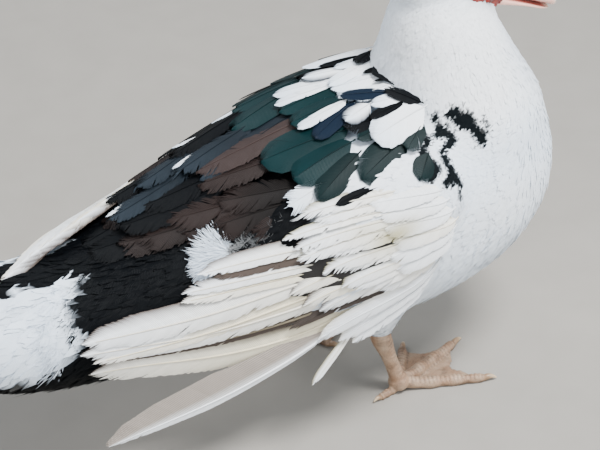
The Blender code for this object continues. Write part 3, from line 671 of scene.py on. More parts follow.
def unwrapped(points):
    """Each root's place on a flat map of the skin: trunk below, thighs between, neck and head above."""
    along, out, up = world_to_head(points).T
    x, y, z = points.T
    head = stacked(0.03 + 0.44 * share_round(out, up), 0.74 + 0.23 * np.clip((along + 0.05) / 0.1, 0, 1))
    rise = np.clip((z - 0.22) / 0.11, 0, 1)
    neck = stacked(0.53 + 0.44 * share_round(y, x - 0.155), 0.74 + 0.23 * rise)
    back = np.clip((x + 0.33) / 0.6, 0, 1)
    trunk = stacked(0.03 + 0.94 * back, 0.03 + 0.5 * share_round(y, z - 0.155))
    thigh = stacked(0.03 + 0.94 * share_round(y, x), 0.57 + 0.12 * np.clip(z / 0.08, 0, 1))
    on_head = (points[:, 2] > 0.315) & (along > -0.052)
    on_neck = (points[:, 2] > 0.262) & ~on_head
    on_thigh = points[:, 2] < 0.075
    flat = np.where(on_neck[:, None], neck, trunk)
    flat = np.where(on_thigh[:, None], thigh, flat)
    return np.where(on_head[:, None], head, flat)


# ---------------------------------------------------------------- skin


def trunk_body():
    x = eased_places(TRUNK, 90)
    widest, above, below, half_width = (v[:, None] for v in trunk_section(x))
    side, up = rounded(round_turn(120), TRUNK_ROUNDNESS)
    height = widest + up * np.where(up > 0, above, below)
    return loft(stacked(x[:, None], side * half_width, height))


def neck_body():
    z = np.linspace(NECK[0][0], NECK[-1][0], 60)
    x, depth, width = (v[:, None] for v in row_at(NECK, z).T)
    angle = round_turn(90)
    return loft(stacked(x + depth * np.cos(angle), width * np.sin(angle), z[:, None]))


def head_rings(table, places, around, power):
    """Rings round the head's axis, in the head's own frame."""
    top, bottom, half_width = (v[:, None] for v in row_at(table, places).T)
    side, up = rounded(round_turn(around), power)
    return stacked(places[:, None], side * half_width, (top + bottom) / 2 + up * (top - bottom) / 2)


def head_body():
    return loft(head_to_world(head_rings(HEAD, eased_places(HEAD, 60), 80, HEAD_ROUNDNESS)))


def tail_body():
    x = eased_places(TAIL_BODY, 30)
    middle, half_height, half_width = (v[:, None] for v in row_at(TAIL_BODY, x).T)
    out, up = rounded(round_turn(48), TAIL_ROUNDNESS)
    return loft(stacked(x[:, None], out * half_width, middle + up * half_height))


def wing_body(side, rise, fullness):
    x = eased_places(WING_BODY, 50)
    upper, lower, thick = (v[:, None] for v in row_at(WING_BODY, x).T)
    share = np.linspace(0, 1, 33)
    down = upper + (lower - upper) * share - rise
    across = x[:, None] * np.ones(33)
    outer = on_flank(side, across, down, fullness * thick * np.sin(np.pi * share) ** 0.6)
    inner = on_flank(side, across, down, np.full_like(down, -0.004))
    return loft(np.concatenate([outer, inner[:, ::-1]], 1))


def foot_centre(side_name):
    return np.array((FOOT_X[side_name], SIDES[side_name] * FOOT_OUT, KNUCKLE_HEIGHT))


def tube(centres, radii, sides):
    """A round limb through these centres. radii may be one for each centre, or one for each point."""
    along = unit(np.gradient(centres, axis=0))
    across = unit(np.cross(along, (0, 1, 0.02)))
    other = np.cross(along, across)
    angle = round_turn(sides)
    radii = np.broadcast_to(radii.reshape(len(centres), -1), (len(centres), sides))[..., None]
    turn = across[:, None] * np.cos(angle)[:, None] + other[:, None] * np.sin(angle)[:, None]
    return loft(centres[:, None] + turn * radii)


def spread_rows(stations, count):
    """(share, x, y, z, radius) rows drawn out smoothly into more of them."""
    stations = np.array(stations, float)
    return row_at(stations, np.linspace(stations[0, 0], stations[-1, 0], count))


def hock_place(side_name):
    return foot_centre(side_name) + (-HOCK_BACK, 0, HOCK_HEIGHT - KNUCKLE_HEIGHT)


def thigh_body(side_name):
    hock = hock_place(side_name)
    hip = hock + (-0.004, -SIDES[side_name] * 0.004, 0.062)
    stations = [
        (0.0, *(hock + (0, 0, 0.001)), 0.0095),
        (0.22, *(hock + (hip - hock) * 0.22), 0.0170),
        (0.5, *(hock + (hip - hock) * 0.5), 0.0270),
        (0.8, *(hock + (hip - hock) * 0.8), 0.0330),
        (1.0, *hip, 0.0300),
    ]
    rows = spread_rows(stations, 30)
    return tube(rows[:, :3], rows[:, 3], 40)


SKIN_VOXEL = 0.0030
SKIN_DEPTH, HEAD_SKIN_DEPTH = 0.0022, 0.0009


def coat_depth(points):
    """How far the skin lies inside the plumage's outline."""
    on_head = smooth_step(0.30, 0.335, points[:, 2])
    return blend(SKIN_DEPTH, HEAD_SKIN_DEPTH, on_head)


def make_skin():
    bodies = [trunk_body(), neck_body(), head_body(), tail_body()]
    bodies += [thigh_body(name) for name in SIDES]
    bodies += [wing_body(side, WING_RISE[name], WING_FULLNESS[name]) for name, side in SIDES.items()]
    points, quads = remeshed(bodies, SKIN_VOXEL)
    near_neck = smooth_step(0.190, 0.215, points[:, 2]) * smooth_step(0.345, 0.325, points[:, 2])
    near_neck *= smooth_step(0.02, 0.06, points[:, 0])
    points = relaxed(points, quads, 4)
    points = relaxed(points, quads, 30, near_neck)
    normals = point_normals(points, quads)
    return points - normals * coat_depth(points)[:, None], quads, normals


SKIN_POINTS, SKIN_QUADS, SKIN_NORMALS = make_skin()
# Under the folded wing the skin is painted dark brown, as shade seen through the gaps between the wing
# feathers.
SKIN_TINT = np.where(under_wing(SKIN_POINTS)[:, None], DARK_BROWN, markings(SKIN_POINTS)[0])
BODY = BVHTree.FromPolygons(SKIN_POINTS.tolist(), SKIN_QUADS.tolist())
make_piece(
    "skin",
    SKIN_POINTS,
    [SKIN_QUADS],
    WHITE_FEATHER,
    # The skin is drawn a tenth darker than the plumage's own colour, as painted shade beneath the plumes.
    SKIN_TINT * 0.9,
    barb=SKIN_POINTS[:, [0, 2]],
    stands_for=("torso", "rump", "neck", "head", "thigh_right", "thigh_left"),
)


# ---------------------------------------------------------------- small plumes


def lie_of_coat(points, normals):
    """Which way the plumage lies: back along the trunk, down the neck and breast, back over the head."""
    back = np.array((-1.0, 0.0, -0.28))
    down = np.array((-0.25, 0.0, -1.0))
    nape = np.array((-1.0, 0.0, -0.55))
    breast = smooth_step(0.165, 0.235, points[:, 0]) * smooth_step(0.09, 0.14, points[:, 2])
    neck = smooth_step(0.245, 0.285, points[:, 2])
    head = smooth_step(0.322, 0.345, points[:, 2])
    fall = np.maximum(neck, 0.85 * breast)[:, None]
    flow = blend(blend(back, down, fall), nape, head[:, None])
    stern = smooth_step(-0.13, -0.20, points[:, 0])[:, None] * smooth_step(0.15, 0.11, points[:, 2])[:, None]
    flow = flow + np.array((0.0, 0.0, -0.5)) * stern * (1 - neck[:, None])
    flow = flow - (flow * normals).sum(-1, keepdims=True) * normals
    return unit(flow)


def scattered(spacing_of, seed, wanted):
    """Roots spread evenly over the skin, this far apart: their places and normals."""
    draw = np.random.default_rng(seed)
    tris = np.concatenate([SKIN_QUADS[:, [0, 1, 2]], SKIN_QUADS[:, [0, 2, 3]]])
    a, b, c = (SKIN_POINTS[tris[:, k]] for k in range(3))
    area = np.linalg.norm(np.cross(b - a, c - a), axis=1) / 2
    spacing = spacing_of((a + b + c) / 3)
    chance = np.where(wanted((a + b + c) / 3), area / spacing**2, 0.0) * 5.0
    whole = np.floor(chance + draw.random(len(chance))).astype(int)
    pick = np.repeat(np.arange(len(tris)), whole)
    draw.shuffle(pick)
    u, v = draw.random((2, len(pick), 1))
    fold = u + v > 1
    u, v = np.where(fold, 1 - u, u), np.where(fold, 1 - v, v)
    points = a[pick] + (b - a)[pick] * u + (c - a)[pick] * v
    normals = unit(SKIN_NORMALS[tris[pick]].mean(1))
    gap = spacing_of(points)
    level = np.round(np.log2(gap / 0.001) * 3)
    cell = np.floor(points / (0.001 * 2 ** (level / 3) * 0.92)[:, None])
    _, first = np.unique(np.column_stack([cell, level]), axis=0, return_index=True)
    return points[first], normals[first]


def plume_form(rows, columns):
    """A thin, closed, flat plume with a toothed tip: shares along it, places across it, how far back
    each column ends, and its faces."""
    along = np.linspace(0, 1, rows) ** 0.9
    across = np.linspace(-1, 1, columns)
    teeth = np.where(np.arange(columns) % 2 == 1, 0.0, 0.13) + 0.05 * across**2
    grid = np.arange(rows * columns).reshape(rows, columns)
    top = quads_between(grid[:, :-1], grid[:, 1:])
    under = stacked(grid[:-2, 0], grid[1:-1, 0], grid[1:-1, -1], grid[:-2, -1])
    last = np.concatenate([grid[-2:-1, 0], grid[-1], grid[-2:-1, -1]])[None]
    return along, across, teeth, [top, under, last, grid[:1, ::-1]]


PLUME_OUTLINE = ((0.0, 0.35), (0.25, 0.80), (0.55, 1.0), (0.80, 0.92), (1.0, 0.55))
PATCH = 0.003  # how much of the OFBake map each plume or feather takes


def patch_spots(across, along):
    """Places on a plume's own patch of the OFBake map: across runs from -1 to 1, along from 0 to 1."""
    return stacked(across * PATCH / 2, (along - 0.5) * PATCH)


def on_skin(places):
    """The nearest points of the skin, and its smooth normals there."""
    found, quads = [], []
    for place in places.tolist():
        point, _, index, _ = BODY.find_nearest(place)
        found.append(point[:])
        quads.append(index)
    return np.array(found), unit(SKIN_NORMALS[SKIN_QUADS[quads]].mean(1))


def plumes(name, roots, normals, lies, length, width, lift, form, seed, material, slot, **other):
    """Makes many plumes as one piece. Each follows the skin from its root to its tip, which stands
    off by lift."""
    draw = np.random.default_rng(seed)
    along, across, teeth, faces = form
    count, rows, columns = len(roots), len(along), len(across)
    if not count:
        return
    half, half_up = on_skin(roots + lies * length[:, None] * 0.5)
    ends, ends_up = on_skin(roots + lies * length[:, None])
    start = roots - normals * 0.0006
    middle = half + half_up * (lift * 0.72)[:, None]
    end = ends + ends_up * lift[:, None]
    end = end + draw.normal(0, other.get("stray", 0.03), (count, 3)) * length[:, None]
    t = along[None, :, None]
    spine = (
        start[:, None] * (1 - t) * (1 - 2 * t)
        + middle[:, None] * 4 * t * (1 - t)
        + end[:, None] * t * (2 * t - 1)
    )
    step = unit(np.gradient(spine, axis=1))
    up = unit(blend(normals[:, None], ends_up[:, None], t))
    side = unit(np.cross(up, step))
    outline = np.interp(along, *np.array(PLUME_OUTLINE).T)
    wide = width[:, None, None] * (outline[:, None] * across)[None]
    pull = teeth * draw.uniform(0.3, 1.7, (count, columns)) + draw.normal(0, 0.04, (count, columns))
    back = (along**3)[None, :, None] * pull[:, None] * length[:, None, None]
    points = spine[:, :, None] + side[:, :, None] * wide[..., None] - step[:, :, None] * back[..., None]
    arch = 0.00016 * (1 - across**2) + 0.05 * width[:, None, None] * (1 - across**2)
    points = points + up[:, :, None] * (arch * (1 - 0.4 * t))[..., None]
    tilt = draw.normal(0, other.get("rough", 0.05), (count, 2, 1, 1, 1))
    round_off = other.get("round_off", 0.18) * across[None, None, :, None] + tilt[:, 0]
    facing = up[:, :, None] + side[:, :, None] * round_off + step[:, :, None] * tilt[:, 1]
    facing = unit(facing).reshape(-1, 3)
    offset = (np.arange(count) * rows * columns)[:, None, None]
    made_faces = [(f[None] + offset).reshape(-1, f.shape[1]) for f in faces]
    made_faces = turned_out(made_faces, points.reshape(-1, 3), facing)
    row_along = along[None, :, None] * length[:, None, None] - 0.8 * np.abs(wide)
    barb = stacked(row_along, wide).reshape(-1, 2)
    flat = (unwrapped(roots)[:, None, None] + patch_spots(across[None], along[:, None])).reshape(-1, 2)
    tint = other.get("tint")
    if tint is None:
        seen = spine + draw.normal(0, 0.0008, (count, 1, 3))
        tint = markings(seen.reshape(-1, 3))[0].reshape(count, rows, 3)
    else:
        tint = np.broadcast_to(tint, (count, rows, 3))
    # Each plume is painted up to a tenth darker towards its root, as shade under the plumes lying over it,
    # and its tone varies a little at random.
    shade = (0.90 + 0.10 * smooth_step(0.0, 0.6, along))[None, :] * draw.normal(1.0, 0.025, (count, 1))
    tint = np.repeat((tint * shade[..., None])[:, :, None], columns, 2).reshape(-1, 3)
    tint = np.clip(tint, 0, 1)
    make_piece(name, points.reshape(-1, 3), made_faces, material, tint, flat, barb, facing)


def plume_length(points):
    """How long the small plumes are here."""
    z, x = points[:, 2], points[:, 0]
    length = np.interp(z, (0.20, 0.26, 0.30, 0.33, 0.36), (0.020, 0.0155, 0.0115, 0.0085, 0.0065))
    rear = smooth_step(0.02, -0.12, x)
    length = length + 0.010 * rear
    low = smooth_step(0.085, 0.066, z)
    length = length * (1 - 0.4 * low)
    shoulder = smooth_step(0.085, 0.100, x) * smooth_step(0.180, 0.165, x)
    shoulder = shoulder * smooth_step(0.185, 0.200, z) * smooth_step(0.275, 0.262, z)
    length = length * (1 - 0.45 * shoulder)
    along = world_to_head(points)[:, 0]
    face = smooth_step(0.0, 0.03, along) * smooth_step(0.30, 0.32, z)
    return length * (1 - 0.35 * face)


def bare_face(points):
    """Whether a place on the head is bare red skin, 1, or feathered, 0."""
    along, out, up = world_to_head(points).T
    behind_eye = np.hypot((along - 0.016) / 0.022, (up - 0.008) / 0.0155)
    cheek = np.hypot((along - 0.040) / 0.022, (up - 0.004) / 0.021)
    edge = 0.10 * ripple(points, 0.008, 11)
    inside = np.minimum(behind_eye, cheek) + edge
    return smooth_step(1.08, 0.94, inside) * (np.abs(out) < 0.04)


def clear_of_face(roots, lies, length):
    """Whether each plume on the head keeps off the bare skin."""
    reach = [bare_face(roots + lies * length[:, None] * share) < 0.5 for share in (0.4, 0.7, 1.0)]
    return np.all(reach, axis=0) | (roots[:, 2] < 0.31)


def feathered(points):
    head = points[:, 2] > 0.31
    return ~(head & (bare_face(points) > 0.3)) & (points[:, 2] > 0.060) & ~under_wing(points)


# Body plumes in groups: number of rows, half width as a share of the length, unevenness of the shading
# and how far it rounds over each plume.
PLUME_GROUPS = {
    "head": (4, 0.22, 0.03, 0.12),
    "breast": (4, 0.17, 0.02, 0.08),
    "belly": (4, 0.17, 0.02, 0.08),
    "flank": (4, 0.15, 0.02, 0.08),
    "marks": (4, 0.17, 0.03, 0.10),
    "back": (5, 0.11, 0.03, 0.12),
}


def make_body_coat():
    def spacing(points):
        return plume_length(points) * np.interp(points[:, 2], (0.26, 0.34), (0.170, 0.205))

    roots, normals = scattered(spacing, 21, feathered)
    draw = np.random.default_rng(22)
    length = plume_length(roots) * draw.uniform(0.85, 1.15, len(roots))
    lies = lie_of_coat(roots, normals)
    lies = unit(lies + np.cross(normals, lies) * draw.normal(0, 0.06, (len(roots), 1)))
    clear = clear_of_face(roots, lies, length)
    dark = markings(roots + lies * length[:, None] * 0.6)[1] >= 0.5
    loose = 1.0 + 0.6 * smooth_step(0.0, -0.15, roots[:, 0])
    lift = 0.00065 * np.clip(length / 0.016, 0.45, 1.6) * draw.uniform(0.6, 1.4, len(roots)) * loose
    small = (length < 0.0105) & (roots[:, 2] > 0.29)
    front = roots[:, 0] > 0.09
    chosen = {
        "head": small,
        "breast": ~small & ~dark & front & (roots[:, 2] > 0.17),
        "belly": ~small & ~dark & front & (roots[:, 2] <= 0.17),
        "flank": ~small & ~dark & ~front,
        "marks": ~small & dark & front,
        "back": ~small & dark & ~front,
    }
    for k, (group, (rows, wide, rough, round_off)) in enumerate(PLUME_GROUPS.items()):
        black = group in ("marks", "back")
        for side_name, side in SIDES.items():
            pick = chosen[group] & clear & (roots[:, 1] * side > 0)
            plumes(
                f"plumes_{group}_{side_name}",
                roots[pick],
                normals[pick],
                lies[pick],
                length[pick],
                length[pick] * wide,
                lift[pick],
                plume_form(rows, 3),
                31 + 2 * k + (side > 0),
                BLACK_FEATHER if black else WHITE_FEATHER,
                "black_plumage" if black else "white_plumage",
                rough=rough,
                round_off=round_off,
            )


make_body_coat()


def fluff(name, places, lies, length, lift, tint, seed, slot, spread=0.25):
    """Loose downy barbs, each a fine thread, from places (along the body, down the right side)."""
    draw = np.random.default_rng(seed)
    count = len(places)
    starts = on_flank(RIGHT, *places.T, np.zeros(count))
    roots, normals = on_skin(starts)
    toward = on_flank(RIGHT, *(places + lies * 0.01).T, np.zeros(count))
    lies = toward - starts + draw.normal(0, 0.01 * spread, starts.shape)
    lies = unit(lies - (lies * normals).sum(1, keepdims=True) * normals)
    plumes(
        name,
        roots,
        normals,
        lies,
        length * draw.uniform(0.6, 1.15, count),
        draw.uniform(0.00022, 0.00042, count),
        lift * draw.uniform(0.3, 1.5, count),
        plume_form(4, 3),
        seed + 1,
        BLACK_FEATHER if slot == "black_plumage" else WHITE_FEATHER,
        slot,
        tint=tint,
        stray=0.10,
        rough=0.10,
        round_off=0.3,
    )


def make_tuft():
    """The pale downy tuft on the right flank, its threads fanned back and up from under the wing, with
    darkened threads in front of it as painted shade.
    """
    draw = np.random.default_rng(51)
    count = 2600
    turn = draw.uniform(-0.55, 1.25, count)
    reach = draw.uniform(0, 1, count) ** 0.7
    middle = np.array((-0.063, 0.068))
    places = middle + stacked(-np.cos(turn) * 0.020, -np.sin(turn) * 0.014) * reach[:, None]
    lies = stacked(-np.cos(turn), -np.sin(turn) * 0.9)
    fluff("tuft_right", places, lies, np.full(count, 0.016), 0.0052, COOL_WHITE, 52, "white_plumage")
    # Threads in front of the tuft, darkened as painted shade, darkest at the front.
    count = 1100
    turn = draw.uniform(-0.2, 1.6, count)
    places = np.array((-0.047, 0.074)) + draw.normal(0, (0.010, 0.0035), (count, 2))
    lies = stacked(-np.cos(turn), -np.sin(turn))
    nearer = np.clip((-0.030 - places[:, 0]) / 0.035, 0, 1)
    shade = (0.03 + 0.30 * nearer * draw.uniform(0.3, 1.2, count))[:, None, None]
    fluff("tuft_shade_right", places, lies, np.full(count, 0.010), 0.0014, WHITE * shade, 54, "white_plumage")


def make_stern_edge():
    """Long loose threads where white and black plumage meet at the stern."""
    draw = np.random.default_rng(61)
    line = np.array(STERN_LINE)[2:]
    for group, count, back, reach, low, tint, slot in (
        ("black", 1300, (0.001, 0.010), 0.011, 0.072, SOFT_BLACK, "black_plumage"),
        ("white", 1300, (-0.014, -0.003), 0.022, 0.084, COOL_WHITE, "white_plumage"),
    ):
        down = draw.uniform(0.020, low, count)
        x = np.interp(down, line[:, 0], line[:, 1]) + draw.uniform(*back, count)
        places = stacked(x, down + draw.normal(0, 0.002, count))
        lies = np.broadcast_to((-1.0, 0.45), (count, 2))
        lift = 0.0012 if group == "black" else 0.0016
        fluff(f"stern_edge_{group}", places, lies, np.full(count, reach), lift, tint, 62 + count % 7, slot)


make_tuft()
make_stern_edge()


# ---------------------------------------------------------------- long feathers, barb by barb

OUTLINES = {
    "broad": ((0.0, 0.06, 0.26, 0.60, 0.86, 0.95, 1.0), (0.12, 0.30, 0.72, 1.0, 0.92, 0.66, 0.0)),
    "rounded": ((0.0, 0.10, 0.30, 0.60, 0.84, 0.95, 1.0), (0.30, 0.60, 0.90, 1.0, 0.88, 0.55, 0.0)),
    "blunt": ((0.0, 0.06, 0.26, 0.60, 0.82, 0.94, 1.0), (0.12, 0.30, 0.68, 1.0, 0.80, 0.52, 0.12)),
}
BARB_STATIONS = np.array((0.0, 0.34, 0.68, 1.0))
SHAFT_RINGS, SHAFT_SIDES = 16, 5
FEATHER_THICKNESS = 0.00035


class Feather:
    """One long feather and how it lies on the flank: places are (along the body, down the side)."""

    shaft = STRAW
    outline = "broad"
    bow = 0.0
    lower_share = 1.0  # how wide the lower vane is beside the upper one
    clump = 0.0026  # barbs drawn as one strip
    wear = 0.10
    upper_wear = 1.0  # share of the wear on the upper vane
    lean = 1.1
    shingle = 0.0022
    sink = 0.0  # how far the root dips into the coat
    edge = None  # colour of the edge of both vanes
    # On wing feathers the colour of the upper vane's edge is painted shade, where the next feather lies over
    # it.
    inner = None  # colour of the edge of the upper vane
    inner_from = 0.45
    stain = False

    def __init__(self, root, tip, half_width, off, colours, **other):
        self.root, self.tip, self.half_width, self.off = root, tip, half_width, off
        self.base, self.end = colours
        self.length = math.dist(root, tip)
        vars(self).update(other)


def vane(feather, hand, draw):
    """One side of a feather as strips of barbs: share along, metres across and metres up for each strip,
    station and corner."""
    share_of_width = feather.lower_share if hand > 0 else 1.0
    widest = feather.half_width * share_of_width
    xs, ys = OUTLINES[feather.outline]
    count = max(8, int(feather.length * 0.93 / feather.clump))
    edges = np.linspace(0.05, 0.995, count + 1)
    middle = (edges[1:] + edges[:-1]) / 2
    lean = feather.lean * (1 + 0.8 * middle**3)
    low, high = np.zeros(count), np.full(count, widest)
    for _ in range(16):
        reach = (low + high) / 2
        inside = widest * np.interp(middle + lean * reach / feather.length, xs, ys, right=0.0) > reach
        low, high = np.where(inside, reach, low), np.where(inside, high, reach)
    patchy = np.interp(middle, np.linspace(0, 1, 9), draw.random(9) ** 1.5)
    wear = feather.wear * (0.25 + 0.9 * patchy + 1.2 * smooth_step(0.72, 1.0, middle))
    wear = np.minimum(wear, 1.0) * (feather.upper_wear if hand < 0 else 1.0)
    reach = reach * (1 - 0.8 * wear * draw.random(count) ** 2)
    broken = draw.random(count) < wear * 0.25
    reach = np.where(broken, reach * draw.uniform(0.5, 0.9, count), reach)
    splits = np.cumsum(draw.random(count) < 0.03 + 0.14 * wear)
    swing = draw.normal(0, 1, splits[-1] + 1)[splits] * (0.006 + 0.07 * wear) * 0.03 / feather.length
    lift = draw.normal(0, 1, splits[-1] + 1)[splits] * (0.00006 + 0.0007 * wear)
    b = BARB_STATIONS[None, :]
    across = reach[:, None] * b
    along = middle[:, None] + lean[:, None] * across / feather.length * (0.8 + 0.2 * b)
    along = along + swing[:, None] * b
    narrow = 1 - (0.06 + 0.9 * np.minimum(2 * wear, 1) * draw.random(count))[:, None] * b**6
    half = (edges[1] - edges[0]) / 2 * narrow * 1.15
    rise = lift[:, None] * b - 0.10 * widest * b**2
    keel = rise - FEATHER_THICKNESS
    grid_across = np.repeat(hand * across[..., None], 3, -1)
    return stacked(along - half, along + half, along), grid_across, stacked(rise, rise, keel)


def strip_faces(count, stations):
    """Faces of closed three-cornered strips laid out as (strip, station, corner)."""
    index = np.arange(count * stations * 3).reshape(count, stations, 3)
    quads = []
    for a, b in ((0, 1), (1, 2), (2, 0)):
        quad = stacked(index[:, :-1, a], index[:, 1:, a], index[:, 1:, b], index[:, :-1, b])
        quads.append(quad.reshape(-1, 4))
    ends = np.concatenate([index[:, 0, :], index[:, -1, ::-1]])
    return [*quads, ends]


def shaft_strip(feather):
    """The shaft as one tapered tube: share along, metres across and metres up."""
    share = np.linspace(-0.01, 0.96, SHAFT_RINGS)
    radius = (0.0004 + 0.0052 * feather.length) * (1 - 0.88 * share)
    angle = round_turn(SHAFT_SIDES)
    along = share[:, None] * np.ones(SHAFT_SIDES)
    return along, radius[:, None] * np.cos(angle), radius[:, None] * np.sin(angle) * 0.8


def shaft_faces():
    ring = np.arange(SHAFT_RINGS * SHAFT_SIDES).reshape(SHAFT_RINGS, SHAFT_SIDES)
    return [quads_between(ring, np.roll(ring, -1, 1)), np.stack([ring[0, ::-1], ring[-1]])]


def feather_on_flank(feather, along, across, rise):
    """A feather's own places as (along the body, down the side, off it)."""
    t = np.clip(along, -0.02, 1.3)
    root, tip = np.array(feather.root), np.array(feather.tip)
    run = tip - root
    sag = feather.bow * 6.75 * t * (1 - np.minimum(t, 1)) ** 2
    sag_slope = feather.bow * 6.75 * ((1 - np.minimum(t, 1)) ** 2 - 2 * t * (1 - np.minimum(t, 1)))
    x = root[0] + run[0] * t
    down = root[1] + run[1] * t + sag
    slope = run[1] + sag_slope
    size = np.hypot(run[0], slope)
    back, fall = run[0] / size, slope / size
    off = feather.off[0] + (feather.off[1] - feather.off[0]) * t
    off = off - feather.sink * np.clip(1 - t / 0.25, 0, 1) ** 2
    off = off + feather.shingle / 2 * across / feather.half_width + rise
    return x + fall * across, down - back * across, off


def vane_facing(world, off_world):
    """Which way each point of a vane (strip, station, corner) faces: off the vane as a whole."""
    sheet = world[:, :, :2].mean(2)
    off = unit(off_world - world)[:, :, :2].mean(2)
    facing = unit(np.cross(np.gradient(sheet, axis=0), np.gradient(sheet, axis=1)))
    facing = facing * np.sign((facing * off).sum(-1, keepdims=True))
    return np.stack([facing] * 3, 2)


class FeatherPiece:
    """Gathers the vanes and shafts of many feathers, then makes one piece of them."""

    def __init__(self):
        self.parts, self.faces, self.count = [], [], 0

    def add(self, feather, along, across, world, off_world, colour, where, slant):
        """Adds a vane (strip, station, corner) or a shaft (ring, side), whose barbs slant by this
        much along for each metre across."""
        if along.ndim == 3:
            faces, facing = strip_faces(len(along), len(BARB_STATIONS)), vane_facing(world, off_world)
        else:
            faces, facing = shaft_faces(), unit(world - world.mean(1, keepdims=True))
        barb = stacked(along * feather.length - slant * np.abs(across), across)
        patch = where + patch_spots(across / feather.half_width, along)
        part = [v.reshape(-1, v.shape[-1]) for v in (world, colour, patch, barb, facing)]
        self.parts.append(part)
        self.faces += [f + self.count for f in turned_out(faces, part[0], part[-1])]
        self.count += len(part[0])

    def make(self, name, material, stands_for):
        points, colour, patch, barb, facing = (np.concatenate(v) for v in zip(*self.parts))
        tint = np.clip(colour, 0, 1)
        make_piece(name, points, self.faces, material, tint, patch, barb, facing, stands_for)


# Dried stain on the wing: place along the body and down the side, spread each way, and share.
STAIN_SPOTS = ((0.056, 0.121, 0.022, 0.009, 1.0), (0.030, 0.108, 0.012, 0.005, 0.35))
STAIN_STRENGTH = 0.85


def stained(colour, x, down):
    amount = 0.0
    for at_x, at_down, wide, high, share in STAIN_SPOTS:
        amount = amount + share * np.exp(-(((x - at_x) / wide) ** 2) - ((down - at_down) / high) ** 2)
    return blend(colour, STAIN, (amount * STAIN_STRENGTH)[..., None])


def vane_colour(feather, hand, along):
    """The vane's colour from root to tip, with its edges' colours; on wing feathers the edge of the upper
    vane is painted shade where the next feather lies over it.
    """
    colour = blend(feather.base, feather.end, smooth_step(0.35, 1.0, along)[..., None])
    outer = smooth_step(feather.inner_from, feather.inner_from + 0.5, BARB_STATIONS)[None, :, None, None]
    if feather.edge is not None:
        colour = blend(colour, feather.edge, outer)
    if feather.inner is not None and hand < 0:
        colour = blend(colour, feather.inner, outer)
    return colour


def long_feathers(name, side, feathers, material, seed, stands_for=()):
    """Builds a side's feathers as one piece."""
    draw = np.random.default_rng(seed)
    piece = FeatherPiece()
    for feather in feathers:
        parts = []
        for hand in (-1, 1):
            along, across, rise = vane(feather, hand, draw)
            each = draw.normal(1.0, 0.015 + 0.03 * feather.wear, len(along))[:, None, None, None]
            parts.append((along, across, rise, vane_colour(feather, hand, along) * each))
        along, across, rise = shaft_strip(feather)
        parts.append((along, across, rise + 0.0002, np.broadcast_to(feather.shaft, (*along.shape, 3))))
        root = np.array([[feather.root[0]], [feather.root[1]], [0.0]])
        where = unwrapped(on_flank(side, *root))[0]
        for along, across, rise, colour in parts:
            x, down, off = feather_on_flank(feather, along, across, rise)
            world, off_world = on_flank(side, x, down, off), on_flank(side, x, down, off + 0.001)
            if feather.stain:
                colour = stained(colour, x, down)
            piece.add(feather, along, across, world, off_world, colour, where, feather.lean)
    piece.make(name, material, stands_for)


GREY_VANE = linear("#928980")
# Painted shade: brown-grey for the gaps between wing feathers and their covered edges, and olive for the
# shade lines between the coverts.
GAP_SHADE_BROWN = linear("#4a3f38")
OLIVE_SHADE = linear("#8a8468")
WARM_WHITE = linear("#ebe9e0")
# Colours of a wing feather: its root, its tip, the edge of its upper vane, and its shaft. The brown-grey and
# olive upper-vane edges are painted shade, in the gaps where each feather lies under the next. The brown
# quills are partly real brown and partly painted shade between the white ones; the gap feather is painted
# shade.
FEATHER_COLOURS = {
    "cream": (CREAM, WARM_WHITE, GAP_SHADE_BROWN, CREAM * 0.7 + STRAW * 0.3),
    "white": (WARM_WHITE, WHITE, GAP_SHADE_BROWN, WARM_WHITE * 0.7 + STRAW * 0.3),
    "grey": (WHITE, WHITE, GREY_VANE, WHITE * 0.98),
    "brown": (GAP_SHADE_BROWN * 0.7, GAP_SHADE_BROWN, None, GAP_SHADE_BROWN * 0.5 + STRAW * 0.3),
    "gap": (GAP_SHADE_BROWN * 0.4, GAP_SHADE_BROWN * 0.6, None, GAP_SHADE_BROWN * 0.5),
    "plain": (WARM_WHITE, WHITE, OLIVE_SHADE, WARM_WHITE * 0.7 + STRAW * 0.3),
    "clean": (WHITE, WHITE, WARM_WHITE, WHITE * 0.98),
}
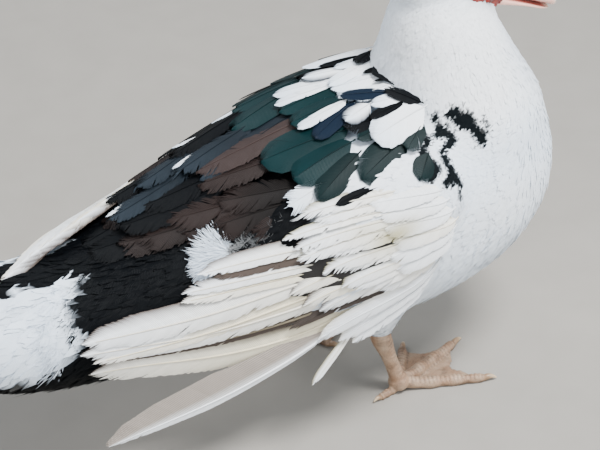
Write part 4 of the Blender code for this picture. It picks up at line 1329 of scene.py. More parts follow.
# Right wing: root and tip (along the body, down the side), half width, share of it below the shaft, how
# far off it lies at root and tip, bow, wear and colour. Quills run from the lowest up and end with a
# short one under them all. Coverts run up the wing, then up the wrist, then up below the wrist.
RIGHT_QUILLS = (
    ((0.030, 0.182), (-0.182, 0.160), 0.0225, 0.24, 0.0030, 0.0300, 0.010, 0.10, "grey"),
    ((0.062, 0.166), (-0.176, 0.108), 0.0080, 0.80, 0.0040, 0.0042, 0.032, 0.40, "cream"),
    ((0.068, 0.161), (-0.186, 0.101), 0.0130, 1.00, 0.0046, 0.0048, 0.030, 0.22, "cream"),
    ((0.070, 0.154), (-0.180, 0.092), 0.0080, 0.60, 0.0050, 0.0050, 0.020, 0.20, "brown"),
    ((0.075, 0.150), (-0.193, 0.080), 0.0115, 0.85, 0.0062, 0.0060, 0.015, 0.22, "white"),
    ((0.080, 0.144), (-0.184, 0.090), 0.0090, 0.60, 0.0064, 0.0062, 0.010, 0.20, "cream"),
    ((0.085, 0.136), (-0.191, 0.072), 0.0135, 0.70, 0.0074, 0.0070, 0.008, 0.20, "white"),
    ((0.088, 0.138), (-0.112, 0.080), 0.0100, 0.50, 0.0078, 0.0076, 0.008, 0.25, "cream"),
    ((0.092, 0.134), (-0.110, 0.075), 0.0085, 0.50, 0.0090, 0.0086, 0.008, 0.30, "white"),
    ((0.092, 0.128), (-0.084, 0.077), 0.0095, 0.60, 0.0088, 0.0086, 0.007, 0.20, "brown"),
    ((0.094, 0.124), (-0.096, 0.069), 0.0085, 0.55, 0.0102, 0.0098, 0.006, 0.28, "white"),
    ((0.094, 0.118), (-0.052, 0.086), 0.0100, 0.60, 0.0100, 0.0084, 0.006, 0.28, "brown"),
    ((0.096, 0.130), (-0.030, 0.122), 0.0110, 0.60, 0.0104, 0.0096, 0.008, 0.25, "cream"),
    ((0.096, 0.138), (-0.020, 0.138), 0.0110, 0.60, 0.0102, 0.0098, 0.010, 0.25, "cream"),
    ((0.098, 0.144), (-0.006, 0.152), 0.0120, 0.60, 0.0100, 0.0098, 0.010, 0.25, "white"),
    ((0.034, 0.192), (-0.013, 0.217), 0.0042, 0.80, 0.0010, 0.0200, 0.002, 0.10, "plain"),
)
RIGHT_COVERTS = (
    ((0.098, 0.150), (0.044, 0.163), 0.0085, 0.80, 0.0120, 0.0112, 0.003, 0.30, "plain"),
    ((0.098, 0.146), (0.029, 0.153), 0.0085, 0.70, 0.0130, 0.0122, 0.004, 0.35, "plain"),
    ((0.097, 0.141), (0.020, 0.147), 0.0080, 0.70, 0.0134, 0.0126, 0.004, 0.40, "white"),
    ((0.096, 0.136), (0.010, 0.140), 0.0085, 0.70, 0.0138, 0.0130, 0.005, 0.40, "plain"),
    ((0.095, 0.131), (0.012, 0.128), 0.0075, 0.70, 0.0142, 0.0132, 0.004, 0.45, "white"),
    ((0.094, 0.127), (-0.004, 0.120), 0.0080, 0.80, 0.0146, 0.0134, 0.004, 0.45, "plain"),
    ((0.092, 0.122), (0.002, 0.110), 0.0075, 0.80, 0.0150, 0.0138, 0.003, 0.45, "white"),
    ((0.090, 0.117), (-0.021, 0.101), 0.0080, 0.80, 0.0154, 0.0140, 0.003, 0.40, "plain"),
    ((0.088, 0.112), (-0.024, 0.093), 0.0075, 0.80, 0.0157, 0.0143, 0.003, 0.45, "white"),
    ((0.084, 0.106), (-0.030, 0.083), 0.0045, 0.80, 0.0160, 0.0146, 0.003, 0.30, "plain"),
    ((0.080, 0.100), (-0.003, 0.085), 0.0070, 0.80, 0.0162, 0.0148, 0.002, 0.50, "white"),
    ((0.076, 0.095), (-0.013, 0.076), 0.0065, 0.80, 0.0164, 0.0150, 0.002, 0.50, "plain"),
    ((0.110, 0.142), (0.056, 0.148), 0.0100, 0.90, 0.0146, 0.0146, 0.002, 0.20, "clean"),
    ((0.112, 0.136), (0.050, 0.136), 0.0100, 0.90, 0.0152, 0.0152, 0.002, 0.20, "clean"),
    ((0.114, 0.130), (0.054, 0.126), 0.0095, 0.90, 0.0156, 0.0156, 0.002, 0.20, "plain"),
    ((0.112, 0.122), (0.048, 0.114), 0.0095, 0.90, 0.0162, 0.0162, 0.002, 0.25, "clean"),
    ((0.108, 0.114), (0.046, 0.103), 0.0090, 0.90, 0.0166, 0.0166, 0.002, 0.25, "clean"),
    ((0.104, 0.106), (0.040, 0.094), 0.0085, 0.90, 0.0170, 0.0168, 0.001, 0.25, "clean"),
    ((0.092, 0.180), (0.024, 0.206), 0.0080, 0.80, 0.0078, 0.0104, 0.003, 0.30, "clean"),
    ((0.098, 0.170), (0.012, 0.197), 0.0085, 0.80, 0.0092, 0.0100, 0.005, 0.30, "clean"),
    ((0.102, 0.159), (-0.006, 0.182), 0.0090, 0.80, 0.0108, 0.0104, 0.009, 0.25, "clean"),
    # A thin dark feather laid low in the fan, as painted shade in the gap between the coverts and the quills.
    ((0.100, 0.149), (-0.030, 0.156), 0.0042, 0.90, 0.0102, 0.0076, 0.013, 0.15, "gap"),
)


HANGING_HALF_WIDTH = 0.02  # a wider feather hangs free below the wing


def listed_feathers(rows, rise=0.0, worn=1.0, shingle=0.0036, lower=0.0, **settings):
    made = []
    for root, tip, half_width, lower_share, off_root, off_tip, bow, wear, colour in rows:
        base, end, inner, shaft = FEATHER_COLOURS[colour]
        hanging = half_width > HANGING_HALF_WIDTH
        made.append(
            Feather(
                (root[0], root[1] - rise),
                (tip[0], tip[1] - rise),
                half_width,
                (off_root - lower, off_tip - lower),
                (base, end),
                bow=bow,
                lower_share=lower_share,
                wear=wear * worn,
                inner=inner,
                outline="blunt" if hanging else "broad",
                inner_from=-0.2 if hanging else 0.45,
                shingle=0.012 if hanging else shingle,
                shaft=shaft,
                upper_wear=0.35,
                **settings,
            )
        )
    return made


def right_flight():
    coverts = listed_feathers(RIGHT_COVERTS, clump=0.0022, stain=True, shingle=0.0048, sink=0.0065)
    return listed_feathers(RIGHT_QUILLS), coverts


# Left wing, laid a little over the rump.
LEFT_QUILLS = (
    ((0.040, 0.150), (-0.238, -0.008), 0.0130, 0.40, 0.0034, 0.0084, 0.036, 0.12, "cream"),
    ((0.046, 0.148), (-0.230, -0.003), 0.0130, 0.40, 0.0040, 0.0088, 0.033, 0.12, "white"),
    ((0.052, 0.147), (-0.220, 0.003), 0.0130, 0.40, 0.0046, 0.0092, 0.030, 0.12, "white"),
    ((0.058, 0.145), (-0.211, 0.007), 0.0130, 0.40, 0.0052, 0.0095, 0.027, 0.12, "white"),
    ((0.064, 0.143), (-0.202, 0.010), 0.0130, 0.40, 0.0056, 0.0098, 0.024, 0.12, "white"),
    ((0.070, 0.141), (-0.192, 0.013), 0.0130, 0.40, 0.0060, 0.0100, 0.021, 0.15, "white"),
    ((0.078, 0.137), (-0.182, 0.017), 0.0140, 0.50, 0.0066, 0.0102, 0.018, 0.15, "white"),
    ((0.084, 0.133), (-0.168, 0.022), 0.0140, 0.50, 0.0072, 0.0104, 0.015, 0.15, "cream"),
    ((0.090, 0.128), (-0.155, 0.027), 0.0140, 0.60, 0.0078, 0.0104, 0.012, 0.20, "white"),
    ((0.094, 0.123), (-0.143, 0.032), 0.0140, 0.60, 0.0084, 0.0104, 0.010, 0.20, "cream"),
    ((0.096, 0.118), (-0.130, 0.037), 0.0140, 0.60, 0.0090, 0.0104, 0.008, 0.20, "white"),
    ((0.090, 0.110), (-0.112, 0.044), 0.0140, 0.60, 0.0094, 0.0104, 0.006, 0.20, "cream"),
    ((0.080, 0.102), (-0.092, 0.052), 0.0140, 0.60, 0.0098, 0.0104, 0.005, 0.20, "white"),
    ((0.096, 0.126), (-0.034, 0.112), 0.0120, 0.60, 0.0100, 0.0104, 0.008, 0.20, "cream"),
    ((0.098, 0.134), (-0.024, 0.130), 0.0120, 0.60, 0.0098, 0.0100, 0.010, 0.20, "white"),
    ((0.098, 0.140), (-0.010, 0.146), 0.0120, 0.60, 0.0096, 0.0098, 0.010, 0.20, "cream"),
)


def left_flight():
    low_rows = [row for row in RIGHT_COVERTS if row[1][1] > 0.09 and row[-1] != "gap"]
    coverts = listed_feathers(low_rows, -0.004, 0.6, 0.0040, lower=0.0045, clump=0.0022, sink=0.0065)
    return listed_feathers(LEFT_QUILLS), coverts


QUILLS, COVERTS = right_flight()
long_feathers("quills_right", RIGHT, QUILLS, WORN_FEATHER, 71, ("wing_right",))
long_feathers("coverts_right", RIGHT, COVERTS, WORN_FEATHER, 72)
QUILLS, COVERTS = left_flight()
long_feathers("quills_left", LEFT, QUILLS, WORN_FEATHER, 73, ("wing_left",))
long_feathers("coverts_left", LEFT, COVERTS, WORN_FEATHER, 74)


# Scapulars and long back feathers, roughly from the lowest to the topmost: root and tip (along the
# body, down the side), half width, how far off they lie, colour, and how worn.
SCAPULARS = {
    "right": (
        ((-0.075, 0.022), (-0.160, 0.006), 0.018, 0.0030, "black", 0.4),
        ((-0.060, 0.034), (-0.138, 0.014), 0.018, 0.0042, "dark_brown", 0.5),
        ((-0.030, 0.056), (-0.092, 0.036), 0.016, 0.0052, "dark_brown", 0.5),
        ((-0.034, 0.044), (-0.122, 0.022), 0.015, 0.0058, "dark_brown", 0.5),
        ((0.010, 0.080), (-0.046, 0.066), 0.014, 0.0060, "dark_brown", 0.5),
        ((0.016, 0.094), (-0.036, 0.080), 0.013, 0.0062, "dark_brown", 0.5),
        ((-0.005, 0.064), (-0.070, 0.046), 0.015, 0.0070, "dark_brown", 0.5),
        ((-0.016, 0.050), (-0.098, 0.020), 0.014, 0.0080, "mid_brown", 0.5),
        ((0.004, 0.058), (-0.060, 0.032), 0.013, 0.0086, "dark_brown", 0.5),
        ((-0.042, 0.020), (-0.132, 0.002), 0.016, 0.0086, "black", 0.4),
        ((-0.020, 0.010), (-0.110, -0.006), 0.016, 0.0094, "black", 0.3),
        ((0.006, 0.030), (-0.066, 0.008), 0.014, 0.0100, "mid_brown", 0.5),
        ((0.036, 0.008), (-0.062, -0.004), 0.016, 0.0116, "brown", 0.25),
        ((0.034, 0.066), (-0.019, 0.066), 0.010, 0.0124, "white", 0.55),
        ((0.089, 0.078), (0.012, 0.079), 0.012, 0.0130, "white", 0.2),
        ((0.054, 0.038), (-0.020, 0.025), 0.018, 0.0134, "teal", 0.0),
        ((0.050, 0.048), (-0.006, 0.052), 0.014, 0.0140, "teal", 0.0),
        ((0.050, 0.058), (0.004, 0.074), 0.011, 0.0148, "deep_green", 0.0),
        ((0.068, 0.010), (0.014, 0.010), 0.012, 0.0142, "teal", 0.0),
        ((0.068, 0.016), (0.022, 0.034), 0.009, 0.0146, "navy", 0.0),
        ((0.064, 0.012), (0.015, 0.019), 0.0065, 0.0151, "white", 0.1),
        ((0.090, 0.062), (0.040, 0.077), 0.014, 0.0152, "deep_green", 0.0),
        ((0.098, 0.024), (0.058, 0.009), 0.007, 0.0154, "navy", 0.0),
        ((0.078, 0.042), (0.046, 0.037), 0.009, 0.0156, "black", 0.2),
        ((0.076, 0.026), (0.048, 0.034), 0.009, 0.0162, "pied", 0.1),
        ((0.106, 0.056), (0.082, 0.072), 0.008, 0.0164, "deep_green", 0.1),
        ((0.100, 0.078), (0.084, 0.094), 0.009, 0.0166, "deep_green", 0.1),
        ((0.107, 0.023), (0.092, -0.002), 0.0035, 0.0150, "black", 0.1),
        ((0.113, 0.043), (0.090, 0.021), 0.0075, 0.0160, "black", 0.15),
        ((0.100, 0.036), (0.066, 0.040), 0.0045, 0.0166, "black", 0.1),
        ((0.058, 0.087), (0.014, 0.083), 0.0036, 0.0170, "black", 0.1),
        ((0.114, 0.046), (0.060, 0.056), 0.0145, 0.0172, "white", 0.06),
        ((0.116, 0.002), (0.058, -0.006), 0.0120, 0.0128, "white", 0.10),
        ((0.116, 0.014), (0.066, 0.016), 0.0085, 0.0136, "white", 0.12),
        ((0.118, 0.010), (0.088, 0.008), 0.0030, 0.0142, "black", 0.15),
        ((0.114, 0.032), (0.074, 0.029), 0.0065, 0.0152, "white", 0.12),
        ((0.090, 0.047), (0.050, 0.050), 0.0065, 0.0148, "deep_green", 0.05),
    ),
}
# The left side has the same feathers a little further forward, less worn and partly in other colours,
# and more black, brown, slate, white and green ones over the back and the front of the wing.
LEFT_COLOURS = {"navy": "white", "brown": "slate", "mid_brown": "black"}
SCAPULARS["left"] = tuple(
    ((root[0] + 0.006, root[1]), tip, wide, off - 0.001, LEFT_COLOURS.get(colour, colour), wear * 0.5)
    for root, tip, wide, off, colour, wear in SCAPULARS["right"]
) + (
    ((-0.040, 0.048), (-0.128, 0.030), 0.0150, 0.0122, "black", 0.35),
    ((-0.006, 0.064), (-0.100, 0.048), 0.0150, 0.0126, "dark_brown", 0.35),
    ((0.030, 0.074), (-0.068, 0.062), 0.0140, 0.0130, "black", 0.35),
    ((-0.010, 0.044), (-0.104, 0.026), 0.0140, 0.0134, "slate", 0.40),
    ((0.026, 0.050), (-0.068, 0.038), 0.0140, 0.0138, "black", 0.30),
    ((-0.040, 0.020), (-0.136, 0.008), 0.0120, 0.0112, "slate", 0.45),
    ((0.012, 0.022), (-0.076, 0.014), 0.0120, 0.0132, "slate", 0.40),
    ((-0.034, 0.046), (-0.060, 0.052), 0.0016, 0.0150, "white", 0.20),
    ((-0.048, 0.028), (-0.074, 0.020), 0.0018, 0.0142, "white", 0.20),
    ((-0.108, 0.022), (-0.136, 0.012), 0.0016, 0.0118, "white", 0.20),
    ((0.060, 0.062), (0.000, 0.056), 0.0130, 0.0132, "teal", 0.05),
)
PALETTE = {
    "teal": (TEAL * 0.9, TEAL * 1.2),
    "deep_green": (DEEP_GREEN, DEEP_GREEN * 1.3),
    "navy": (NAVY, NAVY),
    "black": (BLUE_BLACK, SOFT_BLACK),
    "slate": (SLATE * 0.6, SLATE),
    "brown": (BROWN, BROWN * 1.05),
    "mid_brown": (MID_BROWN, MID_BROWN * 1.2),
    "dark_brown": (DARK_BROWN, MID_BROWN),
    "white": (WHITE, COOL_WHITE),
    "pied": (WHITE, COOL_WHITE),
}


def make_scapulars():
    groups = {
        "green": (GREEN_FEATHER, ("teal", "deep_green", "navy"), "black_plumage"),
        "black": (BLACK_FEATHER, ("black", "slate"), "black_plumage"),
        "brown": (BROWN_FEATHER, ("brown", "mid_brown", "dark_brown"), "black_plumage"),
        "white": (WHITE_FEATHER, ("white", "pied"), "white_plumage"),
    }
    for side_name, side in SIDES.items():
        for k, (group, (material, colours, slot)) in enumerate(groups.items()):
            feathers = []
            for root, tip, wide, off, colour, wear in SCAPULARS[side_name]:
                if colour not in colours:
                    continue
                shaft = PALETTE[colour][0] * (1.4 if "brown" in colour else 0.8)
                feathers.append(
                    Feather(
                        root,
                        tip,
                        wide,
                        (off - 0.004, off),
                        PALETTE[colour],
                        outline="rounded" if wear < 0.3 else "broad",
                        wear=wear,
                        clump=0.0017 if wear > 0.2 else 0.0011,
                        lean=0.9,
                        shaft=shaft,
                        shingle=0.0012,
                        edge=NAVY if colour == "pied" else None,
                    )
                )
            long_feathers(f"scapulars_{group}_{side_name}", side, feathers, material, 81 + k)


make_scapulars()


# ---------------------------------------------------------------- tail

TAIL_QUILLS = 18
TAIL_ROOT = (-0.236, 0.026, 0.1735)  # along, spread to each side, height
TAIL_TIP = (-0.396, 0.058, 0.1640)
TAIL_HALF_WIDTH = 0.0130
TAIL_STEP = 0.0012
TAIL_ROUNDING = 0.020


def make_tail():
    """Black quills in a shallow fan, set in pairs from the middle out."""
    draw = np.random.default_rng(91)
    piece = FeatherPiece()
    pairs = TAIL_QUILLS // 2
    for pair, side in ((pair, side) for pair in range(pairs) for side in (RIGHT, LEFT)):
        share = (pair + 0.5) / pairs
        drop = TAIL_STEP * (pair + (0.5 if side == LEFT else 0.0))
        root = np.array((TAIL_ROOT[0], side * TAIL_ROOT[1] * share, TAIL_ROOT[2] - drop))
        tip_x = TAIL_TIP[0] + TAIL_ROUNDING * share**2
        tip = np.array((tip_x, side * TAIL_TIP[1] * share, TAIL_TIP[2] - drop))
        colours = (BLUE_BLACK, SOFT_BLACK * draw.uniform(0.9, 1.3))
        length = float(np.linalg.norm(tip - root))
        feather = Feather((0, 0), (length, 0), TAIL_HALF_WIDTH, (0, 0), colours, wear=0.25)
        run = (tip - root) / length
        out = unit(np.array((-run[1], run[0], 0.0))) * -side
        up = np.cross(run, out)
        up = up * np.sign(up[2])
        where = unwrapped(root[None])[0]
        for along, across, rise in (*(vane(feather, hand, draw) for hand in (-1, 1)), shaft_strip(feather)):
            world = root + run * (along * length)[..., None] + out * across[..., None]
            world = world + up * (rise * 0.6)[..., None]
            colour = blend(feather.base, feather.end, smooth_step(0.3, 1.0, along)[..., None])
            piece.add(feather, along, across, world, world + up * 0.001, colour, where, 1.0)
    piece.make("tail_quills", BLACK_FEATHER, ("tail",))


make_tail()


# ---------------------------------------------------------------- bare face, eyes and bill

# Warty bulbs of red skin on the face: place along the head, height and radius.
CHEEK_BULBS = (
    (0.040, 0.0125, 0.0048),
    (0.031, 0.0190, 0.0038),
    (0.021, 0.0205, 0.0032),
    (0.011, 0.0200, 0.0028),
    (0.030, 0.0080, 0.0044),
    (0.039, 0.0020, 0.0040),
    (0.029, -0.0030, 0.0036),
    (0.020, -0.0015, 0.0030),
    (0.009, -0.0005, 0.0028),
    (0.002, 0.0070, 0.0026),
)
BROW_BULBS = ((0.041, 0.0215, 0.0042), (0.033, 0.0262, 0.0036))
BULB_SUNK = 0.45
SMALL_BULBS = 150
FACE_FROM, FACE_TO = -0.014, 0.0495
EYE_OPENING = 0.0047  # radius of the gap between the lids
# Folds of the lids round the opening: radius, rise and width.
LID_FOLDS = ((0.0053, 0.0014, 0.0007), (0.0074, 0.0009, 0.0006), (0.0092, 0.0006, 0.0005))


def lumps(points, centres, radii):
    """How high bulbs with these centres stand over each point."""
    height = np.zeros(len(points))
    for centre, radius in zip(centres, radii):
        gap = np.linalg.norm(points - centre, axis=1) / radius
        height = np.maximum(height, radius * (1 - BULB_SUNK) * np.sqrt(np.clip(1 - gap**2, 0, 1)))
    return height


def face_bulbs(points):
    """Centres and sizes of the bulbs, on the face's own surface."""
    draw = np.random.default_rng(101)
    wanted = [(p, side * 0.02, u, r) for p, u, r in CHEEK_BULBS for side in (RIGHT, LEFT)]
    wanted += [(p, 0.0, u, r) for p, u, r in BROW_BULBS]
    centres, radii = [], []
    for place, out, up, radius in wanted:
        gap = (points[:, 0] - place) ** 2 + (points[:, 2] - up) ** 2
        gap += np.where(out * points[:, 1] < 0, 1.0, 0.0) + (points[:, 1] ** 2 if out == 0 else 0)
        centres.append(points[gap.argmin()])
        radii.append(radius)
    inside = np.flatnonzero(bare_face(head_to_world(points)) > 0.8)
    for pick in draw.choice(inside, SMALL_BULBS, replace=False):
        centres.append(points[pick])
        radii.append(draw.uniform(0.0009, 0.0021))
    return np.array(centres), np.array(radii)


def make_face():
    """Red, warty bare skin round the eyes and over the root of the bill."""
    places = np.linspace(FACE_FROM, FACE_TO, 140)
    rings = head_rings(HEAD, places, 260, HEAD_ROUNDNESS)
    outward = np.cross(np.gradient(rings, axis=1), np.gradient(rings, axis=0))
    outward = unit(outward).reshape(-1, 3)
    base = rings.reshape(-1, 3)
    outward *= np.sign((outward * (base * (0, 1, 1))).sum(1, keepdims=True))
    bulbs, radii = face_bulbs(base)
    eye_gap = np.hypot(base[:, 0] - EYE[0], (base[:, 2] - EYE[2]) * 1.12)
    beside = np.abs(base[:, 1]) > 0.010
    near_eye = smooth_step(0.0105, 0.0060, eye_gap) * beside
    height = lumps(base, bulbs, radii) * (1 - near_eye)
    height += 0.00018 * ripple(base, 0.0022, 12)
    for radius, rise, width in LID_FOLDS:
        height += beside * rise * np.exp(-(((eye_gap - radius) / width) ** 2))
    height -= 0.0052 * beside * smooth_step(EYE_OPENING + 0.0003, EYE_OPENING - 0.0004, eye_gap)
    edge = bare_face(head_to_world(base))
    height = (height + 0.0004) * edge - 0.0030 * (1 - edge)
    moved = (base + outward * height[:, None]).reshape(rings.shape)
    points, faces = loft(head_to_world(moved))
    red, deep, dark = linear("#a8352b"), linear("#7a1f1c"), linear("#3c1d1c")
    mix = (0.5 + 0.5 * ripple(base, 0.010, 13))[:, None]
    black = smooth_step(0.35, 0.8, ripple(base, 0.013, 14))[:, None] * 0.55
    tint = blend(blend(deep, red, mix), dark, black)
    lid = (beside * smooth_step(0.0064, 0.0054, eye_gap))[:, None]
    tint = blend(tint, linear("#6b4038"), lid)
    tint = np.concatenate([tint, tint[:2]])
    make_piece("bare_face", points, faces, skin_material("warty_red_skin", 0.42, 0.9, 0.35, 0.15), tint)


def skin_material(name, roughness, scale_mm, relief, soft):
    """Bare skin: a little light passes into it, and small scales or pimples break its shine."""
    material, tree, shader = new_material(name)
    place = add_node(tree, "ShaderNodeTexCoord").outputs["Object"]
    pattern = {"Vector": place, "Scale": per_metre(scale_mm)}
    scales = add_node(tree, "ShaderNodeTexVoronoi", pattern, feature="DISTANCE_TO_EDGE")
    flat = ranged(tree, scales.outputs["Distance"], 0.62, 1.0, 0.25)
    uneven = ranged(tree, cloud(tree, SKIN_CLOUD_MM, 5.0), 0.75, 1.25)
    shade = add_node(tree, "ShaderNodeMath", {0: flat, 1: uneven}, operation="MULTIPLY").outputs["Value"]
    sockets = {"Roughness": roughness, **softness(soft, (0.0020, 0.0008, 0.0005))}
    surface(tree, shader, shade, flat, relief, SCALE_DEPTH, sockets)
    return material


def horn_material(name, roughness, coat):
    """Horn: smooth keratin with faint streaks, a soft shine and a thin clear skin."""
    material, tree, shader = new_material(name)
    streaks = cloud(tree, HORN_STREAK_MM, 6.0)
    sockets = {"Roughness": roughness, "Coat Weight": coat, "Coat Roughness": 0.25}
    sockets |= softness(0.12, (0.0015, 0.0007, 0.0005))
    surface(tree, shader, ranged(tree, streaks, 0.88, 1.12), streaks, 0.25, STREAK_DEPTH, sockets)
    return material


def eye_material():
    """Eye: a wet, clear, very smooth surface over the tinted ball."""
    material, tree, shader = new_material("wet_eye")
    tint = add_node(tree, "ShaderNodeVertexColor", layer_name="tint")
    tree.links.new(tint.outputs["Color"], shader.inputs["Base Color"])
    shader.inputs["Roughness"].default_value = 0.12
    shader.inputs["Coat Weight"].default_value = 1.0
    shader.inputs["Coat Roughness"].default_value = 0.02
    return material


PUPIL, IRIS = 0.40, 0.86  # angles from the eye's axis, in radians


def make_eyes():
    material = eye_material()
    for side_name, side in SIDES.items():
        centre = head_to_world((EYE[0], side * EYE[1], EYE[2]))
        points, faces = ball(centre, EYE_RADIUS, 96)
        off = unit(points - centre)
        angle = np.arccos(np.clip(off[:, 1] * side, -1, 1))
        rays = 0.85 + 0.3 * ripple(off * 0.01, 0.0025, 15)
        iris = linear("#7a4a1c") * rays[:, None] * smooth_step(IRIS, IRIS * 0.7, angle)[:, None]
        tint = iris * smooth_step(PUPIL - 0.03, PUPIL + 0.03, angle)[:, None] + linear("#0a0807")
        name = f"eyeball_{side_name}"
        make_piece(name, points, faces, material, tint, stands_for=(f"eye_{side_name}",))


BILL_SIDES = 110
LAMELLA_SPACING = 0.0013


def bill_half(name, table, power, stands_for, is_upper):
    """Half the bill: lamellae along its rim, and on the upper half the nostrils and the nail."""
    places = eased_places(table, 120)
    rings = head_rings(table, places, BILL_SIDES, power)
    centre = rings.mean(1, keepdims=True)
    away = unit(rings - centre)
    share = ((places - places[0]) / (places[-1] - places[0]))[:, None] * np.ones(BILL_SIDES)
    top, bottom, _ = row_at(table, places).T
    level = (rings[..., 2] - bottom[:, None]) / (top - bottom)[:, None]
    push = np.zeros(share.shape)
    rim = smooth_step(0.30, 0.10, level) if is_upper else smooth_step(0.72, 0.92, level)
    if is_upper:
        to_one_side = rings * stacked(1, np.sign(rings[..., 1]), 1)
        gap = (to_one_side - np.array(NOSTRIL)) / (np.array(NOSTRIL_SIZE) * (1.0, 1.8, 1.0))
        gap = np.linalg.norm(gap, axis=-1)
        push -= 0.0024 * smooth_step(1.0, 0.55, gap)
        push += 0.0004 * np.exp(-(((gap - 1.25) / 0.25) ** 2))
        nail = smooth_step(0.86, 0.90, share) * smooth_step(0.45, 0.30, np.abs(away[..., 1]))
        push += 0.0005 * nail * (level > 0.4)
    groove = 0.00022 * np.sin(rings[..., 0] * 2 * np.pi / LAMELLA_SPACING)
    push += groove * rim * smooth_step(0.15, 0.3, share) * smooth_step(0.92, 0.85, share)
    points, faces = loft(head_to_world(rings + away * push[..., None]))
    pale, deep, tip = linear("#e2b2a2"), linear("#b9655a"), linear("#ecd0c0")
    root = smooth_step(0.22, 0.05, share)
    flush = np.clip(rim * 0.9 + root * 0.8, 0, 1)[..., None]
    end = smooth_step(0.84, 0.95, share)[..., None]
    tint = blend(blend(pale, deep, flush), tip, end)
    if is_upper:
        # The nostrils are darkened as painted shade in their hollows.
        tint = tint * (1 - 0.8 * smooth_step(1.0, 0.6, gap))[..., None]
    tint = np.concatenate([tint.reshape(-1, 3), tint.reshape(-1, 3)[[0, -1]]])
    make_piece(name, points, faces, BILL_HORN, tint, stands_for=stands_for)


BILL_HORN = horn_material("pink_bill_horn", 0.42, 0.25)
make_face()
make_eyes()
bill_half("upper_bill", UPPER_BILL, 2.6, ("bill_upper",), True)
bill_half("lower_bill", LOWER_BILL, 2.8, ("bill_lower",), False)


def make_crest():
    """Longer narrow plumes over the crown and down the nape, a little raised."""

    def on_crown(points):
        along, out, up = world_to_head(points).T
        return (points[:, 2] > 0.32) & (along < 0.022) & (up > 0.012) & (np.abs(out) < 0.017)

    roots, normals = scattered(lambda points: np.full(len(points), 0.0036), 111, on_crown)
    draw = np.random.default_rng(112)
    lies = unit(lie_of_coat(roots, normals) + draw.normal(0, 0.10, roots.shape))
    lies = unit(lies - (lies * normals).sum(1, keepdims=True) * normals)
    length = draw.uniform(0.014, 0.023, len(roots))
    lift = draw.uniform(0.0022, 0.0062, len(roots))
    clear = clear_of_face(roots, lies, length)
    roots, normals, lies, length, lift = (v[clear] for v in (roots, normals, lies, length, lift))
    plumes(
        "crest",
        roots,
        normals,
        lies,
        length,
        length * 0.11,
        lift,
        plume_form(6, 3),
        113,
        WHITE_FEATHER,
        "white_plumage",
        tint=WHITE,
    )


make_crest()


# ---------------------------------------------------------------- legs and feet

LEG_VOXEL = 0.00075
SCUTE_LENGTH = 0.0036


def toe_direction(side_name, toe):
    inward = math.radians(TOES[toe][0])
    return np.array((math.cos(inward), -SIDES[side_name] * math.sin(inward), 0.0))


def toe_line(side_name, toe, share):
    """Places and radii along the toe's middle line, which comes down to the floor and runs along it."""
    _, length, root, end = TOES[toe]
    share = np.asarray(share, float)
    radius = root + (end - root) * share
    points = foot_centre(side_name) + toe_direction(side_name, toe) * (length * share)[..., None]
    level = radius * 0.86
    points[..., 2] = level + (KNUCKLE_HEIGHT - level) * np.clip(1 - share * 3.2, 0, 1) ** 1.5
    return points, radius


def toe_body(side_name, toe):
    share = np.linspace(0, 1, 40)
    joints = (0.0, 0.12, 0.26, 0.38, 0.50, 0.66, 0.80, 0.94, 1.0)
    swell = (1.0, 1.0, 0.95, 1.13, 0.92, 1.13, 0.93, 1.04, 0.80)
    points, radius = toe_line(side_name, toe, share)
    return tube(points, radius * row_at(np.column_stack([joints, swell]), share)[:, 0], 24)


def web_body(side_name, toe_a, toe_b, scallop):
    across = np.linspace(0, 1, 25)[None, :]
    out = np.linspace(0, 1, 25)[:, None]
    fray = 0.005 * np.sin(across * 23) * np.sin(across * 11)
    reach = (0.93 - scallop * 4 * across * (1 - across) + fray * out) * (0.04 + 0.96 * out)
    a, _ = toe_line(side_name, toe_a, reach)
    b, _ = toe_line(side_name, toe_b, reach)
    points = a + (b - a) * across[..., None]
    gap = np.linalg.norm(points - foot_centre(side_name), axis=-1)
    pleat = 0.00035 * np.sin(across * 2 * np.pi * 4.5) * np.sin(np.pi * across) * out
    points[..., 2] = 0.0022 + np.clip(1 - gap / 0.026, 0, 1) * 0.0042 - 4 * across * (1 - across) * 0.0004
    points[..., 2] += pleat
    thick = np.array((0, 0, WEB_THICKNESS / 2))
    rings = np.stack([np.concatenate([p + thick, (p - thick)[::-1]]) for p in points])
    return loft(rings)


def shank_body(side_name):
    foot, hock = foot_centre(side_name), hock_place(side_name)
    table = (
        (0.0, SHANK_RADIUS * 1.12),
        (0.25, SHANK_RADIUS * 0.96),
        (0.6, SHANK_RADIUS),
        (0.85, HOCK_RADIUS * 0.95),
        (1.0, HOCK_RADIUS),
        (1.14, HOCK_RADIUS * 0.85),
    )
    share = np.linspace(0, 1.14, 50)
    return tube(foot + (hock - foot) * share[:, None], row_at(table, share)[:, 0], 40)


